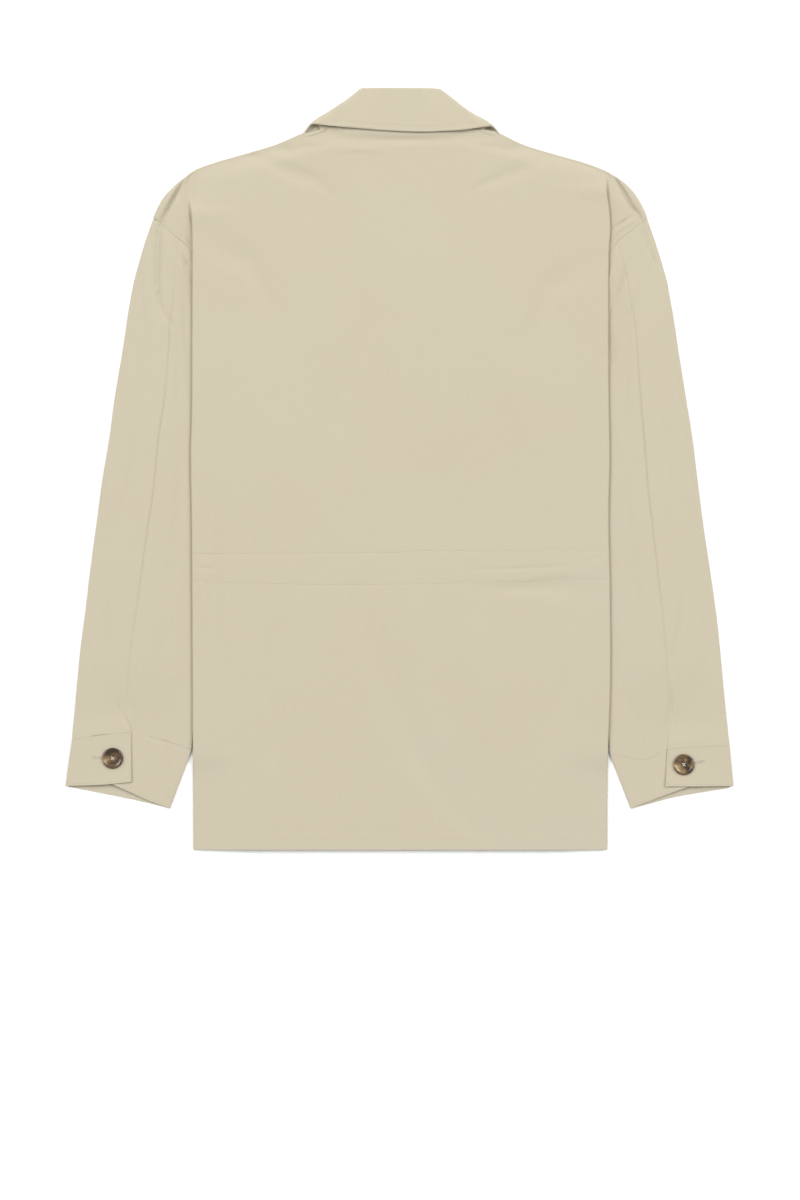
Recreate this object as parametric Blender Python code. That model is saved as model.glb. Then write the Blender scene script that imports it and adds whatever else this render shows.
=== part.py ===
"""Safari jacket in cotton twill, laid face down and flat with its sleeves straight down.

Each piece of cloth is a wall built from sections. A section is a row of points on the middle
of the wall, and every point is given by three sizes in millimetres: out, the distance from the
centre line towards its own side, down, the distance below the collar's roll, and z, the height.
"""

import math

import bmesh
import bpy
from mathutils import Vector

# Driving sizes, in millimetres
MM = 0.001
LENGTH = 762.0
WALL = 1.2
GAP = 0.3
LAYER = WALL + GAP
FOLD_R = LAYER / 2
LEFT, RIGHT = -1, 1
NECK_HALF = {LEFT: 82.0, RIGHT: 88.0}
NECK_SIDE_DOWN = 39.0
BACK_NECK_DOWN = 36.0
FRONT_NECK_DOWN = 92.0

BUTTON_D = 21.0
BUTTON_THICK = 2.4
HOLE_D = 2.2
HOLE_OFFSET = 2.3
PLACKET_HALF = 16.0
PLACKET_RAMP = 18.0
PLACKET_LIFT = BUTTON_THICK + GAP
SLEEVE_LIFT = 2 * LAYER
BACK_PLATEAU = WALL / 2 + PLACKET_LIFT + 2 * LAYER
COLLAR_LAYER = 2.2

ARMPIT_DOWN = 209.0
SLEEVE_TOP_DOWN = 205.0
FOLD_START_DOWN = 84.0
FOLD_FORMED_DOWN = 104.0
SIDE_TURN = 14.0
BODY_OVERLAP = 16.0
OVERLAP_RAMP = 14.5
ARMPIT_RAMP = 18.0

# Shoulder edge, from the neck to the tip of the dropped shoulder
SHOULDER = (
    # down, left, right
    (39.0, 82.0, 88.0),
    (45.2, 97.0, 100.0),
    (56.0, 123.0, 123.0),
    (64.2, 150.0, 149.0),
    (74.2, 184.5, 184.2),
    (81.0, 203.0, 202.5),
    (89.0, 214.8, 217.3),
    (97.4, 224.3, 227.6),
    (107.0, 233.7, 235.9),
    (117.5, 240.4, 242.0),
    (129.7, 246.0, 247.5),
)

# Armhole seam, from the tip of the shoulder to the armpit
ARMHOLE = (
    # down, left, right
    (129.7, 246.0, 247.5),
    (134.4, 239.0, 242.5),
    (142.0, 232.0, 233.5),
    (149.8, 223.0, 223.0),
    (155.5, 215.3, 216.7),
    (163.1, 208.0, 210.5),
    (212.0, 167.5, 170.0),
)

# Fold of the body's side, as it shows on the back
SIDE_FOLD = (
    # down, left, right
    (84.0, 207.7, 205.0),
    (106.0, 209.0, 207.4),
    (121.0, 208.2, 209.8),
    (142.0, 207.4, 210.8),
    (163.0, 207.2, 209.4),
    (260.0, 207.5, 209.0),
    (312.0, 207.6, 209.4),
    (369.0, 208.8, 210.2),
    (430.0, 207.9, 209.1),
    (503.0, 207.5, 210.5),
    (592.0, 207.0, 210.8),
    (666.0, 206.7, 208.6),
    (761.6, 206.2, 208.0),
)

# Outer edge of the sleeve, from the shoulder tip to the cuff seam
SLEEVE_OUTER = (
    # down, left, right
    (129.7, 246.0, 247.5),
    (140.0, 250.7, 251.7),
    (154.5, 255.5, 256.8),
    (169.8, 260.3, 261.7),
    (190.0, 265.1, 267.1),
    (209.0, 268.9, 270.6),
    (232.0, 272.7, 274.7),
    (260.7, 276.9, 278.9),
    (312.0, 285.5, 287.1),
    (346.0, 289.9, 292.6),
    (394.0, 297.8, 298.6),
    (434.0, 303.1, 303.7),
    (476.5, 308.9, 310.0),
    (524.0, 314.6, 316.8),
    (561.0, 319.4, 320.8),
    (610.5, 324.2, 325.4),
    (639.7, 327.3, 328.9),
    (651.0, 327.5, 330.0),
)

# Inner edge of the sleeve and its cuff, which the body covers above 662 mm
SLEEVE_INNER = (
    # down, left, right
    (SLEEVE_TOP_DOWN, 173.4, 175.6),
    (300.0, 180.4, 182.8),
    (657.0, 206.6, 209.4),
    (662.5, 207.5, 210.0),
    (675.5, 214.5, 216.2),
    (685.0, 218.9, 220.4),
    (700.4, 222.6, 224.8),
    (713.4, 227.0, 229.0),
    (720.5, 229.7, 231.4),
)

# Back seam between the two halves of the sleeve
BACK_SEAM = (
    # down, left, right
    (150.0, 219.6, 216.0),
    (184.0, 223.9, 226.3),
    (211.0, 225.8, 230.1),
    (232.0, 229.5, 234.9),
    (260.7, 230.6, 237.7),
    (312.0, 235.2, 241.2),
    (350.0, 241.0, 244.6),
    (407.0, 246.7, 249.2),
    (446.0, 252.5, 253.9),
    (488.0, 258.2, 258.5),
    (522.5, 263.0, 262.6),
    (560.7, 268.7, 266.2),
    (610.5, 272.5, 270.4),
    (619.0, 273.2, 272.2),
    (627.0, 273.2, 270.0),
    (635.0, 271.8, 267.9),
    (643.0, 268.4, 267.8),
    (660.0, 268.2, 268.0),
)

# Slope of the collar, from its roll down to the edge of its fall
COLLAR_SLOPE = (
    # share, left_out, left_down, right_out, right_down
    (0.00, 38.5, 0.0, 40.5, 0.6),
    (0.25, 49.8, 9.0, 54.5, 11.0),
    (0.50, 62.5, 17.6, 67.5, 21.2),
    (0.75, 75.0, 26.0, 80.0, 28.8),
    (1.00, 86.8, 34.6, 91.8, 36.6),
)

# Edges of each cuff: the lapped end on top, the rest of the top layer and the layer under both
CUFF_TAB_EDGE = (
    # share, left_out, left_down, right_out, right_down
    (0.0, 334.3, 698.0, 334.1, 698.0),
    (0.6, 299.0, 696.8, 300.0, 698.4),
    (1.0, 268.2, 694.0, 266.6, 698.9),
)
CUFF_TOP_EDGE = (
    # share, left_out, left_down, right_out, right_down
    (0.00, 299.0, 696.3, 299.0, 699.2),
    (0.35, 271.5, 703.7, 276.4, 703.0),
    (0.70, 251.9, 712.3, 252.0, 712.6),
    (1.00, 229.7, 720.5, 231.5, 720.7),
)
CUFF_UNDER_EDGE = (
    # share, left_out, left_down, right_out, right_down
    (0.00, 229.7, 720.5, 231.5, 720.7),
    (0.21, 251.9, 714.9, 251.5, 715.6),
    (0.52, 284.5, 708.0, 276.4, 709.0),
    (1.00, 334.3, 698.3, 334.1, 699.3),
)
CUFF_SEAM = (
    # share, left_out, left_down, right_out, right_down
    (0.00, 327.8, 651.4, 330.4, 657.6),
    (0.45, 268.4, 644.2, 268.2, 661.5),
    (0.75, 241.0, 651.2, 245.0, 671.5),
    (1.00, 207.6, 661.5, 209.8, 665.0),
)
TAB_END = (
    # share, left_out, left_down, right_out, right_down
    (0.0, 268.2, 643.8, 268.0, 658.4),
    (1.0, 268.2, 694.0, 266.6, 698.9),
)

CUFF_BUTTONS = (
    # side, out, down
    (LEFT, 286.8, 670.3),
    (RIGHT, 284.3, 676.6),
)
FRONT_BUTTON_DOWN = (150.0, 262.0, 374.0, 486.0, 598.0)

# Colours
TWILL = (0.47, 0.42, 0.32, 1.0)
HORN = (0.16, 0.09, 0.05, 1.0)


# Small helpers
def smooth(share):
    share = min(max(share, 0.0), 1.0)
    return share * share * (3 - 2 * share)


def lerp(a, b, share):
    return a + (b - a) * share


def mix(a, b, share):
    return lerp(a[0], b[0], share), lerp(a[1], b[1], share)


def read(table, key, column):
    """Value of a table's column where its first column equals key."""
    for low, high in zip(table, table[1:]):
        if key <= high[0]:
            break
    share = (key - low[0]) / (high[0] - low[0])
    return lerp(low[column], high[column], min(max(share, 0.0), 1.0))


def edge(table, down, side):
    """Out of an edge at a given down."""
    return read(table, down, 1 if side == LEFT else 2)


def along(table, share, side):
    """Out and down of a point at a share of a two-column edge."""
    first = 1 if side == LEFT else 3
    return read(table, share, first), read(table, share, first + 1)


def word(side):
    return "left" if side == LEFT else "right"


def place(side, out, down, z):
    return Vector((side * out, LENGTH / 2 - down, z)) * MM


def cloth(name):
    """Cotton twill of one piece."""
    material = bpy.data.materials.new("twill_" + name)
    material.use_nodes = True
    shader = material.node_tree.nodes["Principled BSDF"]
    shader.inputs["Base Color"].default_value = TWILL
    shader.inputs["Roughness"].default_value = 0.85
    shader.inputs["Metallic"].default_value = 0.0
    return material


def wall(name, rows):
    """One closed wall round rows of middle points. A missing point leaves its cells out."""
    mesh = bpy.data.meshes.new(name)
    shape = bmesh.new()
    grid = []
    for row in rows:
        grid.append([None if point is None else shape.verts.new(point) for point in row])
    for upper, lower in zip(grid, grid[1:]):
        for a, b, c, d in zip(upper, lower, lower[1:], upper[1:]):
            if None not in (a, b, c, d):
                shape.faces.new((a, b, c, d))
    loose = [vert for vert in shape.verts if not vert.link_faces]
    bmesh.ops.delete(shape, geom=loose, context="VERTS")
    shape.to_mesh(mesh)
    shape.free()
    mesh.shade_smooth()
    item = bpy.data.objects.new(name, mesh)
    bpy.context.collection.objects.link(item)
    mesh.materials.append(cloth(name))
    solid = item.modifiers.new("thickness", "SOLIDIFY")
    solid.thickness = WALL * MM
    solid.offset = 0.0
    solid.use_rim = True
    return item


# Heights of the layers
LEAF_SIDE_OUT = 0.891
LEAF_SIDE_DOWN = 0.4545
LEAF_SIDE_REACH = 111.0
LEAF_POINT_REACH = 134.5
LEAF_RAMP = 15.0
PLATEAU_RAMP = 60.0
CLIMB_OUT = 9.0
CLIMB_DOWN = 4.0


def leaf_mask(out, down):
    """1 over the collar's front leaves and fading to 0 outside them."""
    beyond_side = abs(out) * LEAF_SIDE_OUT + down * LEAF_SIDE_DOWN - LEAF_SIDE_REACH
    beyond_point = down - LEAF_POINT_REACH
    return 1 - smooth(max(beyond_side, beyond_point) / LEAF_RAMP)


def placket_mask(out):
    return 1 - smooth((abs(out) - PLACKET_HALF) / PLACKET_RAMP)


def over_sleeve(side, out, down):
    """1 where the body's side lies over the sleeve, and fading to 0 beside it."""
    inner = edge(SLEEVE_INNER, max(down, SLEEVE_TOP_DOWN), side)
    return smooth((out - (inner - BODY_OVERLAP)) / OVERLAP_RAMP)


def sleeve_mask(side, out, down):
    """1 where the sleeve lies under the body's side, below the armpit."""
    return smooth((down - ARMPIT_DOWN) / ARMPIT_RAMP) * over_sleeve(side, out, down)


def front_z(side, out, down):
    lift = max(
        COLLAR_LAYER * leaf_mask(out, down),
        PLACKET_LIFT * placket_mask(out),
        SLEEVE_LIFT * sleeve_mask(side, out, down),
    )
    lap = LAYER * (1 - smooth((out - PLACKET_HALF) / PLACKET_RAMP)) if side == RIGHT else 0.0
    return WALL / 2 + lift + lap


def side_level(side, down):
    """Height of the back's upper layer at its side fold."""
    return WALL / 2 + LAYER + SLEEVE_LIFT * over_sleeve(side, edge(SIDE_FOLD, down, side), down)


def back_z(out, main_start, level):
    """Height of the back's upper layer, rising from its edge to a plateau."""
    return lerp(level, BACK_PLATEAU, smooth((main_start - out) / PLATEAU_RAMP))


# Back panel
THIRD = (0.0, 0.5, 1.0)
SECOND = (0.0, 0.5, 1.0)
TURN_STEPS = 4
MAIN = (0.0, 0.03, 0.09, 0.17, 0.28, 0.44, 0.7, 1.0)
FOLD_ROOM = 8.5
FOLD_FIRST_DEPTH = 0.3
FOLD_DEPTH_AT_ARMPIT = 38.0
SIDE_SEAM_RUN = 95.0
NECK_ROWS = 4


def neck_down(side, out):
    return lerp(BACK_NECK_DOWN, NECK_SIDE_DOWN, smooth(out / NECK_HALF[side]))


def above_front(side, out, down, z):
    """At least one layer above the front, whose climb over the leaves it starts earlier."""
    highest = max(front_z(side, out, down), front_z(side, out - CLIMB_OUT, down - CLIMB_DOWN))
    return max(z, highest + LAYER)


def turn(out, z, heading, angle):
    """Points and end of an arc one fold turn long that changes heading by angle.

    Heading is measured in the section, 0 towards the centre line and a quarter turn upwards.
    """
    step_angle = angle / TURN_STEPS
    chord = math.pi * FOLD_R / TURN_STEPS
    if step_angle != 0.0:
        chord *= math.sin(step_angle / 2) / (step_angle / 2)
    points = []
    for index in range(TURN_STEPS):
        middle = heading + step_angle * (index + 0.5)
        out -= chord * math.cos(middle)
        z += chord * math.sin(middle)
        points.append((out, z))
    return points


def knife_fold(main_start, z, angle, depth):
    """A turn, a straight run of the given depth and a turn back, ending at main_start."""
    trial = turn(0.0, z, 0.0, angle)
    run_out = -depth * math.cos(angle)
    run_z = depth * math.sin(angle)
    reach = 2 * trial[-1][0] + run_out
    first = turn(main_start - reach, z, 0.0, angle)
    end_out, end_z = first[-1]
    run = [(end_out + run_out * share, end_z + run_z * share) for share in SECOND[1:]]
    last = turn(run[-1][0], run[-1][1], angle, -angle)
    return main_start - reach, first + run + last


def back_half(side, down):
    """Half row as out and z, from the boundary to the centre."""
    fold = edge(SIDE_FOLD, down, side)
    main_start = fold - WALL / 2 - FOLD_R
    if down <= ARMPIT_DOWN:
        if down <= SHOULDER[-1][0]:
            boundary = edge(SHOULDER, down, side)
        else:
            boundary = edge(ARMHOLE, down, side) - GAP
        if down < ARMHOLE[0][0]:
            main_start = min(main_start, boundary - FOLD_ROOM)
        z = above_front(side, boundary, down, WALL / 2 + LAYER)
        angle = math.pi * smooth((down - FOLD_START_DOWN) / (FOLD_FORMED_DOWN - FOLD_START_DOWN))
        growth = max(0.0, (down - FOLD_FORMED_DOWN) / (ARMPIT_DOWN - FOLD_FORMED_DOWN))
        depth = FOLD_FIRST_DEPTH + FOLD_DEPTH_AT_ARMPIT * growth
        start, fold_points = knife_fold(main_start, z, angle, depth)
        side_part = [(lerp(boundary, start, share), z) for share in THIRD] + fold_points
        if angle == 0.0:
            side_part = [(out, above_front(side, out, down, z)) for out, z in side_part]
    else:
        side_part = [None] * (len(THIRD) + TURN_STEPS - 1)
        level = side_level(side, down) - LAYER
        seam = side_seam(side, down)
        side_part += [(lerp(seam, main_start, share), level) for share in SECOND]
        side_part += turn(main_start, level, math.pi, -math.pi)
    level = side_part[-1][1]
    main = []
    for share in MAIN[1:]:
        out = lerp(main_start, 0.0, share)
        z = back_z(out, main_start, level)
        main.append((out, above_front(side, out, down, z)))
    return side_part + main


def side_seam(side, down):
    """Out of the seam under the body's side fold."""
    fold = edge(SIDE_FOLD, down, side)
    armpit = edge(ARMHOLE, ARMHOLE[-1][0], side)
    return lerp(armpit, fold - SIDE_TURN, smooth((down - ARMPIT_DOWN) / SIDE_SEAM_RUN))


UPPER_DOWN = (
    39.0, 45.2, 50.5, 56.0, 64.2, 74.2, 81.0, 85.0, 89.0, 93.0, 97.4, 102.0, 107.0, 113.0, 120.0,
    129.7, 134.4, 142.0, 149.8, 155.5, 163.1, 185.0, 209.0,
)
LOWER_DOWN = (
    211.5, 222.0, 236.0, 252.0, 275.0, 312.0, 369.0, 430.0, 503.0, 592.0, 645.0, 666.0, 685.0, 708.0,
    735.0, 761.6,
)


def make_back():
    rows = []
    for index, down in enumerate(UPPER_DOWN + LOWER_DOWN):
        fade = max(0.0, 1 - index / NECK_ROWS)
        halves = {}
        for side in (LEFT, RIGHT):
            points = []
            for point in back_half(side, down):
                if point is None:
                    points.append(None)
                    continue
                out, z = point
                neck = neck_down(side, out) - NECK_SIDE_DOWN
                points.append(place(side, out, down + neck * fade, z))
            halves[side] = points
        rows.append(halves[LEFT][:-1] + halves[RIGHT][::-1])
    return wall("back", rows)


# Fronts
FRONT_TOP_DOWN = (43.5, 48.0, 56.0, 64.2, 74.2, 81.0, 86.0, 89.5, 91.5, 94.0, 107.0, 120.0)
FRONT_UPPER_DOWN = FRONT_TOP_DOWN + (129.7, 134.4, 142.0, 149.8, 155.5, 163.1, 185.0, 209.0)
FRONT_EDGE_OUT = 2.0 - PLACKET_HALF
NECK_CLEAR_OUT = 0.5
LEAF_LAST_DOWN = 140.0
CLIMB_STEPS = (1.5, 6.0, 11.0, 16.0)
LEAST_PART = 6


def front_outer(side, down):
    if down <= SHOULDER[-1][0]:
        return edge(SHOULDER, down, side)
    if down <= ARMPIT_DOWN:
        return edge(ARMHOLE, down, side) - GAP
    return side_seam(side, down) - GAP


def front_inner(side, down):
    """Neck curve, and below it the front edge just past the centre."""
    drop = (down - NECK_SIDE_DOWN) / (FRONT_NECK_DOWN - NECK_SIDE_DOWN)
    if drop >= 1.0:
        return FRONT_EDGE_OUT
    return NECK_HALF[side] * math.sqrt(1 - drop * drop) + NECK_CLEAR_OUT


def front_columns(side, down):
    """Outs across a front, closest together where it climbs over what lies beneath."""
    outer = front_outer(side, down)
    inner = front_inner(side, down)
    sleeve = edge(SLEEVE_INNER, max(down, SLEEVE_TOP_DOWN), side)
    leaf = (LEAF_SIDE_REACH - LEAF_SIDE_DOWN * min(down, LEAF_LAST_DOWN)) / LEAF_SIDE_OUT
    wanted = [outer] + [sleeve - step for step in CLIMB_STEPS] + [(sleeve + leaf) / 2]
    wanted += [leaf + LEAF_RAMP / LEAF_SIDE_OUT, leaf + LEAF_RAMP / 2, leaf]
    wanted += [PLACKET_HALF + PLACKET_RAMP, PLACKET_HALF + PLACKET_RAMP / 2, PLACKET_HALF, inner]
    least = (outer - inner) / (LEAST_PART * len(wanted))
    outs = []
    for index, out in enumerate(wanted):
        out = max(out, inner + least * (len(wanted) - 1 - index))
        out = min(out, outer - least * index)
        outs.append(out)
    return outs


def make_front(side):
    rows = []
    for down in FRONT_UPPER_DOWN + LOWER_DOWN:
        rows.append([place(side, out, down, front_z(side, out, down)) for out in front_columns(side, down)])
    return wall("front_" + word(side), rows)


# Sleeves
SLEEVE_ROWS = 15
SLEEVE_CROWN = 1.6
CROWN_CLEAR = 3.0
HEAD_ROW_RATE = 0.55
FRONT_SEAM_SHARE = 0.8
EDGE_SHARE = 0.03
SEAM_TRIES = 30
SLEEVE_MEAN_WIDTH = 100.0
HEAD_SHARE = 0.12
TAIL_SHARE = 0.12
TOP_Z = WALL / 2 + LAYER
UNDER_Z = WALL / 2


def cuff_seam(side, across, upper):
    """Out and down on the cuff seam, which runs straight on the under layer."""
    if upper:
        return along(CUFF_SEAM, across, side)
    return mix(along(CUFF_SEAM, 0.0, side), along(CUFF_SEAM, 1.0, side), across)


def sleeve_point(side, row_share, across, upper=True):
    """Out and down at a share along the sleeve and a share from its outer to its inner edge."""
    outer_down = lerp(ARMHOLE[0][0], along(CUFF_SEAM, 0.0, side)[1], row_share)
    inner_down = lerp(SLEEVE_TOP_DOWN, along(CUFF_SEAM, 1.0, side)[1], row_share)
    outer = edge(SLEEVE_OUTER, outer_down, side)
    inner = edge(SLEEVE_INNER, inner_down, side)
    out = lerp(outer, inner, across)
    down = lerp(outer_down, inner_down, across)
    head = max(0.0, 1 - row_share / HEAD_SHARE)
    seam_down = lerp(ARMHOLE[0][0], SLEEVE_TOP_DOWN, across)
    out = lerp(out, edge(ARMHOLE, seam_down, side) + GAP, head)
    down = lerp(down, seam_down + GAP, head)
    tail = max(0.0, 1 - (1 - row_share) / TAIL_SHARE)
    cuff_out, cuff_down = cuff_seam(side, across, upper)
    return lerp(out, cuff_out, tail), lerp(down, cuff_down - GAP, tail)


def seam_share(side, row_share):
    """Share across at which the back seam crosses a section."""
    low, high = 0.0, 1.0
    for _ in range(SEAM_TRIES):
        middle = (low + high) / 2
        out, down = sleeve_point(side, row_share, middle)
        if out > edge(BACK_SEAM, down, side):
            low = middle
        else:
            high = middle
    return low


def sleeve_arc(side, row_share, across):
    """Points round the sleeve's outer or inner edge, from its top layer to its under layer."""
    out, down = sleeve_point(side, row_share, across)
    near_out, near_down = sleeve_point(side, row_share, 0.5)
    run = math.hypot(out - near_out, down - near_down)
    unit_out = (out - near_out) / run
    unit_down = (down - near_down) / run
    points = []
    for index in range(TURN_STEPS + 1):
        angle = math.pi * index / TURN_STEPS
        back = FOLD_R * (1 - math.sin(angle)) + WALL / 2
        z = lerp(TOP_Z, UNDER_Z, (1 - math.cos(angle)) / 2)
        points.append(place(side, out - unit_out * back, down - unit_down * back, z))
    return points


def sleeve_top_z(side, row_share, across):
    """Height of the upper layer, with a soft crown where the body leaves it free."""
    outer = sleeve_point(side, row_share, 0.0)[0]
    out, down = sleeve_point(side, row_share, across)
    free = edge(SIDE_FOLD, down, side) + CROWN_CLEAR
    share = min(max((outer - out) / max(outer - free, 1.0), 0.0), 1.0)
    crown = math.sin(math.pi * share) * smooth(row_share / HEAD_SHARE) * smooth((1 - row_share) / TAIL_SHARE)
    return TOP_Z + SLEEVE_CROWN * crown


def make_sleeve(side):
    seam_gap = GAP / 2 / SLEEVE_MEAN_WIDTH
    top_rows = []
    under_rows = []
    for index in range(SLEEVE_ROWS + 1):
        share = index / SLEEVE_ROWS
        share = share * lerp(HEAD_ROW_RATE, 1.0, share)
        seam = seam_share(side, share)
        top = []
        for step in (1.0, 0.66, 0.33):
            across = lerp(EDGE_SHARE, seam - seam_gap, step)
            out, down = sleeve_point(side, share, across)
            top.append(place(side, out, down, sleeve_top_z(side, share, across)))
        top += sleeve_arc(side, share, 0.0)
        for step in (0.2, 0.5, 1.0):
            across = lerp(EDGE_SHARE, FRONT_SEAM_SHARE - seam_gap, step)
            out, down = sleeve_point(side, share, across, upper=False)
            top.append(place(side, out, down, UNDER_Z))
        top_rows.append(top)
        under = []
        for step in (0.0, 0.3, 0.6, 0.9):
            across = lerp(seam + seam_gap, 1 - EDGE_SHARE, step)
            out, down = sleeve_point(side, share, across)
            under.append(place(side, out, down, sleeve_top_z(side, share, across)))
        under += sleeve_arc(side, share, 1.0)
        for step in (0.6, 0.0):
            across = lerp(FRONT_SEAM_SHARE + seam_gap, 1 - EDGE_SHARE, step)
            out, down = sleeve_point(side, share, across, upper=False)
            under.append(place(side, out, down, UNDER_Z))
        under_rows.append(under)
    wall("sleeve_top_" + word(side), top_rows)
    wall("sleeve_under_" + word(side), under_rows)


# Cuffs
CUFF_ROWS = (0.0, 0.25, 0.5, 0.75, 1.0)
TAB_Z = WALL / 2 + 2 * LAYER
TAB_DIP = 0.2
TAB_RISE_SHARE = 0.3
UNDER_TAB_SHARE = 0.24


def cuff_arc(side, outer, centre_from, z_start, z_end):
    """Points round a cuff's side edge at out and down of outer, seen from centre_from."""
    run = math.hypot(outer[0] - centre_from[0], outer[1] - centre_from[1])
    unit = ((outer[0] - centre_from[0]) / run, (outer[1] - centre_from[1]) / run)
    points = []
    for index in range(TURN_STEPS + 1):
        angle = math.pi * index / TURN_STEPS
        back = FOLD_R * (1 - math.sin(angle)) + WALL / 2
        z = lerp(z_start, z_end, (1 - math.cos(angle)) / 2)
        points.append(place(side, outer[0] - unit[0] * back, outer[1] - unit[1] * back, z))
    return points


def make_cuff(side):
    """A band that starts at its lapped end and goes once round the wrist to end under the lap."""
    corner_out, corner_down = along(CUFF_SEAM, 0.0, side)
    seam_outer = (corner_out, corner_down + GAP)
    rows = []
    for share in CUFF_ROWS:
        row = []
        tab_end = along(TAB_END, share, side)
        outer = mix(seam_outer, along(CUFF_TAB_EDGE, 0.0, side), share)
        for across in (1.0, 0.75, 0.5, 0.25, 0.08):
            end = along(CUFF_TAB_EDGE, across, side)
            start = mix(seam_outer, along(TAB_END, 0.0, side), across)
            out, down = mix(start, end, share)
            z = lerp(TAB_Z - TAB_DIP, TAB_Z, smooth(across / TAB_RISE_SHARE))
            row.append(place(side, out, down, z))
        row += cuff_arc(side, outer, tab_end, TAB_Z - TAB_DIP, UNDER_Z)
        inner_seam = along(CUFF_SEAM, 1.0, side)
        inner = mix(inner_seam, along(CUFF_TOP_EDGE, 1.0, side), share)
        for across in (0.1, 0.35, 0.6, 0.85):
            start = cuff_seam(side, across, False)
            end = along(CUFF_UNDER_EDGE, 1 - across, side)
            out, down = mix((start[0], start[1] + GAP), end, share)
            row.append(place(side, out, down, UNDER_Z))
        row += cuff_arc(side, inner, outer, UNDER_Z, TOP_Z)
        for across in (0.85, 0.671, 0.276, 0.0):
            start = along(CUFF_SEAM, lerp(UNDER_TAB_SHARE, 1.0, across), side)
            end = along(CUFF_TOP_EDGE, across, side)
            out, down = mix((start[0], start[1] + GAP), end, share)
            row.append(place(side, out, down, TOP_Z))
        rows.append(row)
    return wall("cuff_" + word(side), rows)


# Collar
ROLL_STEPS = 4
TOP_STEPS = 12
WRAP_STEPS = 5
LEAF_STEPS = 6
ROLL_R = COLLAR_LAYER / 2
FALL_WRAP = 3.4
FALL_TOP_Z = BACK_PLATEAU + COLLAR_LAYER
SIDE_DROP = 1.4
FALL_SIDE_Z = FALL_TOP_Z - SIDE_DROP
LEAF_NECK = (4.0, 62.0)
LEAF_POINT = (48.0, 132.0)
LEAF_SWELL = 15.5
FALL_EDGE_DOWN = 43.4
NECK_CLEAR = 2.5
STAND_SIDE_RATE = 8
STAND_RISE = (0.05, 0.2)
TOP_EASE = (0.25, 0.75)
TOP_RISE_SHARE = 0.5


def collar_path(side, share, sink, edge_down, neck):
    """Half path of a collar section: its front from the end to the side, then the back.

    Share runs from the roll at 0 to the free or sewn edge at 1. Sink moves the path into the
    collar, so that the stand runs inside the fall.
    """
    top_out, top_down = along(COLLAR_SLOPE, 0.0, side)
    end_out, end_down = along(COLLAR_SLOPE, 1.0, side)
    slope_run = math.hypot(end_out - top_out, end_down - top_down)
    aside_out = (end_down - top_down) / slope_run
    aside_down = (top_out - end_out) / slope_run
    slope_out, slope_down = along(COLLAR_SLOPE, share, side)
    centre_out = slope_out - aside_out * (WALL / 2 + FALL_WRAP)
    centre_down = slope_down - aside_down * (WALL / 2 + FALL_WRAP)
    low = WALL / 2 + sink
    high = FALL_SIDE_Z - sink
    points = []
    for index in range(LEAF_STEPS):
        step = 1 - index / LEAF_STEPS
        if neck:
            angle = step * math.pi / 2
            neck_out = lerp(centre_out, NECK_HALF[side] - NECK_CLEAR, min(step * STAND_SIDE_RATE, 1.0))
            seam_out = neck_out * math.cos(angle) + LEAF_NECK[0] * math.sin(angle)
            seam_down = lerp(centre_down, FRONT_NECK_DOWN - NECK_CLEAR, math.sin(angle))
            roll_out = lerp(top_out - aside_out * FALL_WRAP, LEAF_NECK[0], step)
            roll_down = lerp(top_down - aside_down * FALL_WRAP, LEAF_NECK[1], step)
            from_roll = lerp(share, 1.0, STAND_RISE[0] + STAND_RISE[1] * step ** 3)
            out = lerp(roll_out, seam_out, from_roll)
            down = lerp(roll_down, seam_down, from_roll)
        else:
            tip_out, tip_down = mix(LEAF_NECK, LEAF_POINT, share)
            swell = LEAF_SWELL * share * share * math.sin(math.pi * math.sqrt(step))
            out = lerp(centre_out, tip_out, step) + swell
            down = lerp(centre_down, tip_down, step)
        points.append(place(side, out, down, low))
    radius = FALL_WRAP - sink
    for index in range(WRAP_STEPS + 1):
        angle = math.pi * index / WRAP_STEPS
        reach = radius * math.sin(angle)
        z = lerp(low, high, (1 - math.cos(angle)) / 2)
        points.append(place(side, centre_out + aside_out * reach, centre_down + aside_down * reach, z))
    ease = lerp(TOP_EASE[0], TOP_EASE[1], share)
    for index in range(1, TOP_STEPS // 2 + 1):
        step = index / (TOP_STEPS // 2)
        out = centre_out * (1 - step)
        down = lerp(centre_down, edge_down * share, step ** ease)
        z = lerp(high, FALL_TOP_Z - sink, smooth(step / TOP_RISE_SHARE))
        points.append(place(side, out, down, z))
    return points


def collar_row(share, sink, edge_down, neck=False):
    left = collar_path(LEFT, share, sink, edge_down, neck)
    right = collar_path(RIGHT, share, sink, edge_down, neck)
    return left[:-1] + right[::-1]


ROLL_SHARE = (WALL / 2 + ROLL_R) / FALL_EDGE_DOWN
COLLAR_SHARES = (0.25, 0.5, 0.75, 1.0)
STAND_SHARES = (0.078, 0.25, 0.5, 0.75, 0.965)


def make_fall():
    rows = []
    for index in range(ROLL_STEPS, -1, -1):
        angle = math.pi * index / ROLL_STEPS
        share = ROLL_SHARE - ROLL_R * math.sin(angle) / FALL_EDGE_DOWN
        rows.append(collar_row(share, ROLL_R * (1 - math.cos(angle)), FALL_EDGE_DOWN))
    for share in COLLAR_SHARES:
        rows.append(collar_row(share, 0.0, FALL_EDGE_DOWN))
    return wall("collar_fall", rows)


def make_stand():
    rows = []
    for share in STAND_SHARES:
        rows.append(collar_row(share, COLLAR_LAYER, BACK_NECK_DOWN - GAP, neck=True))
    return wall("collar_stand", rows)


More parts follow.
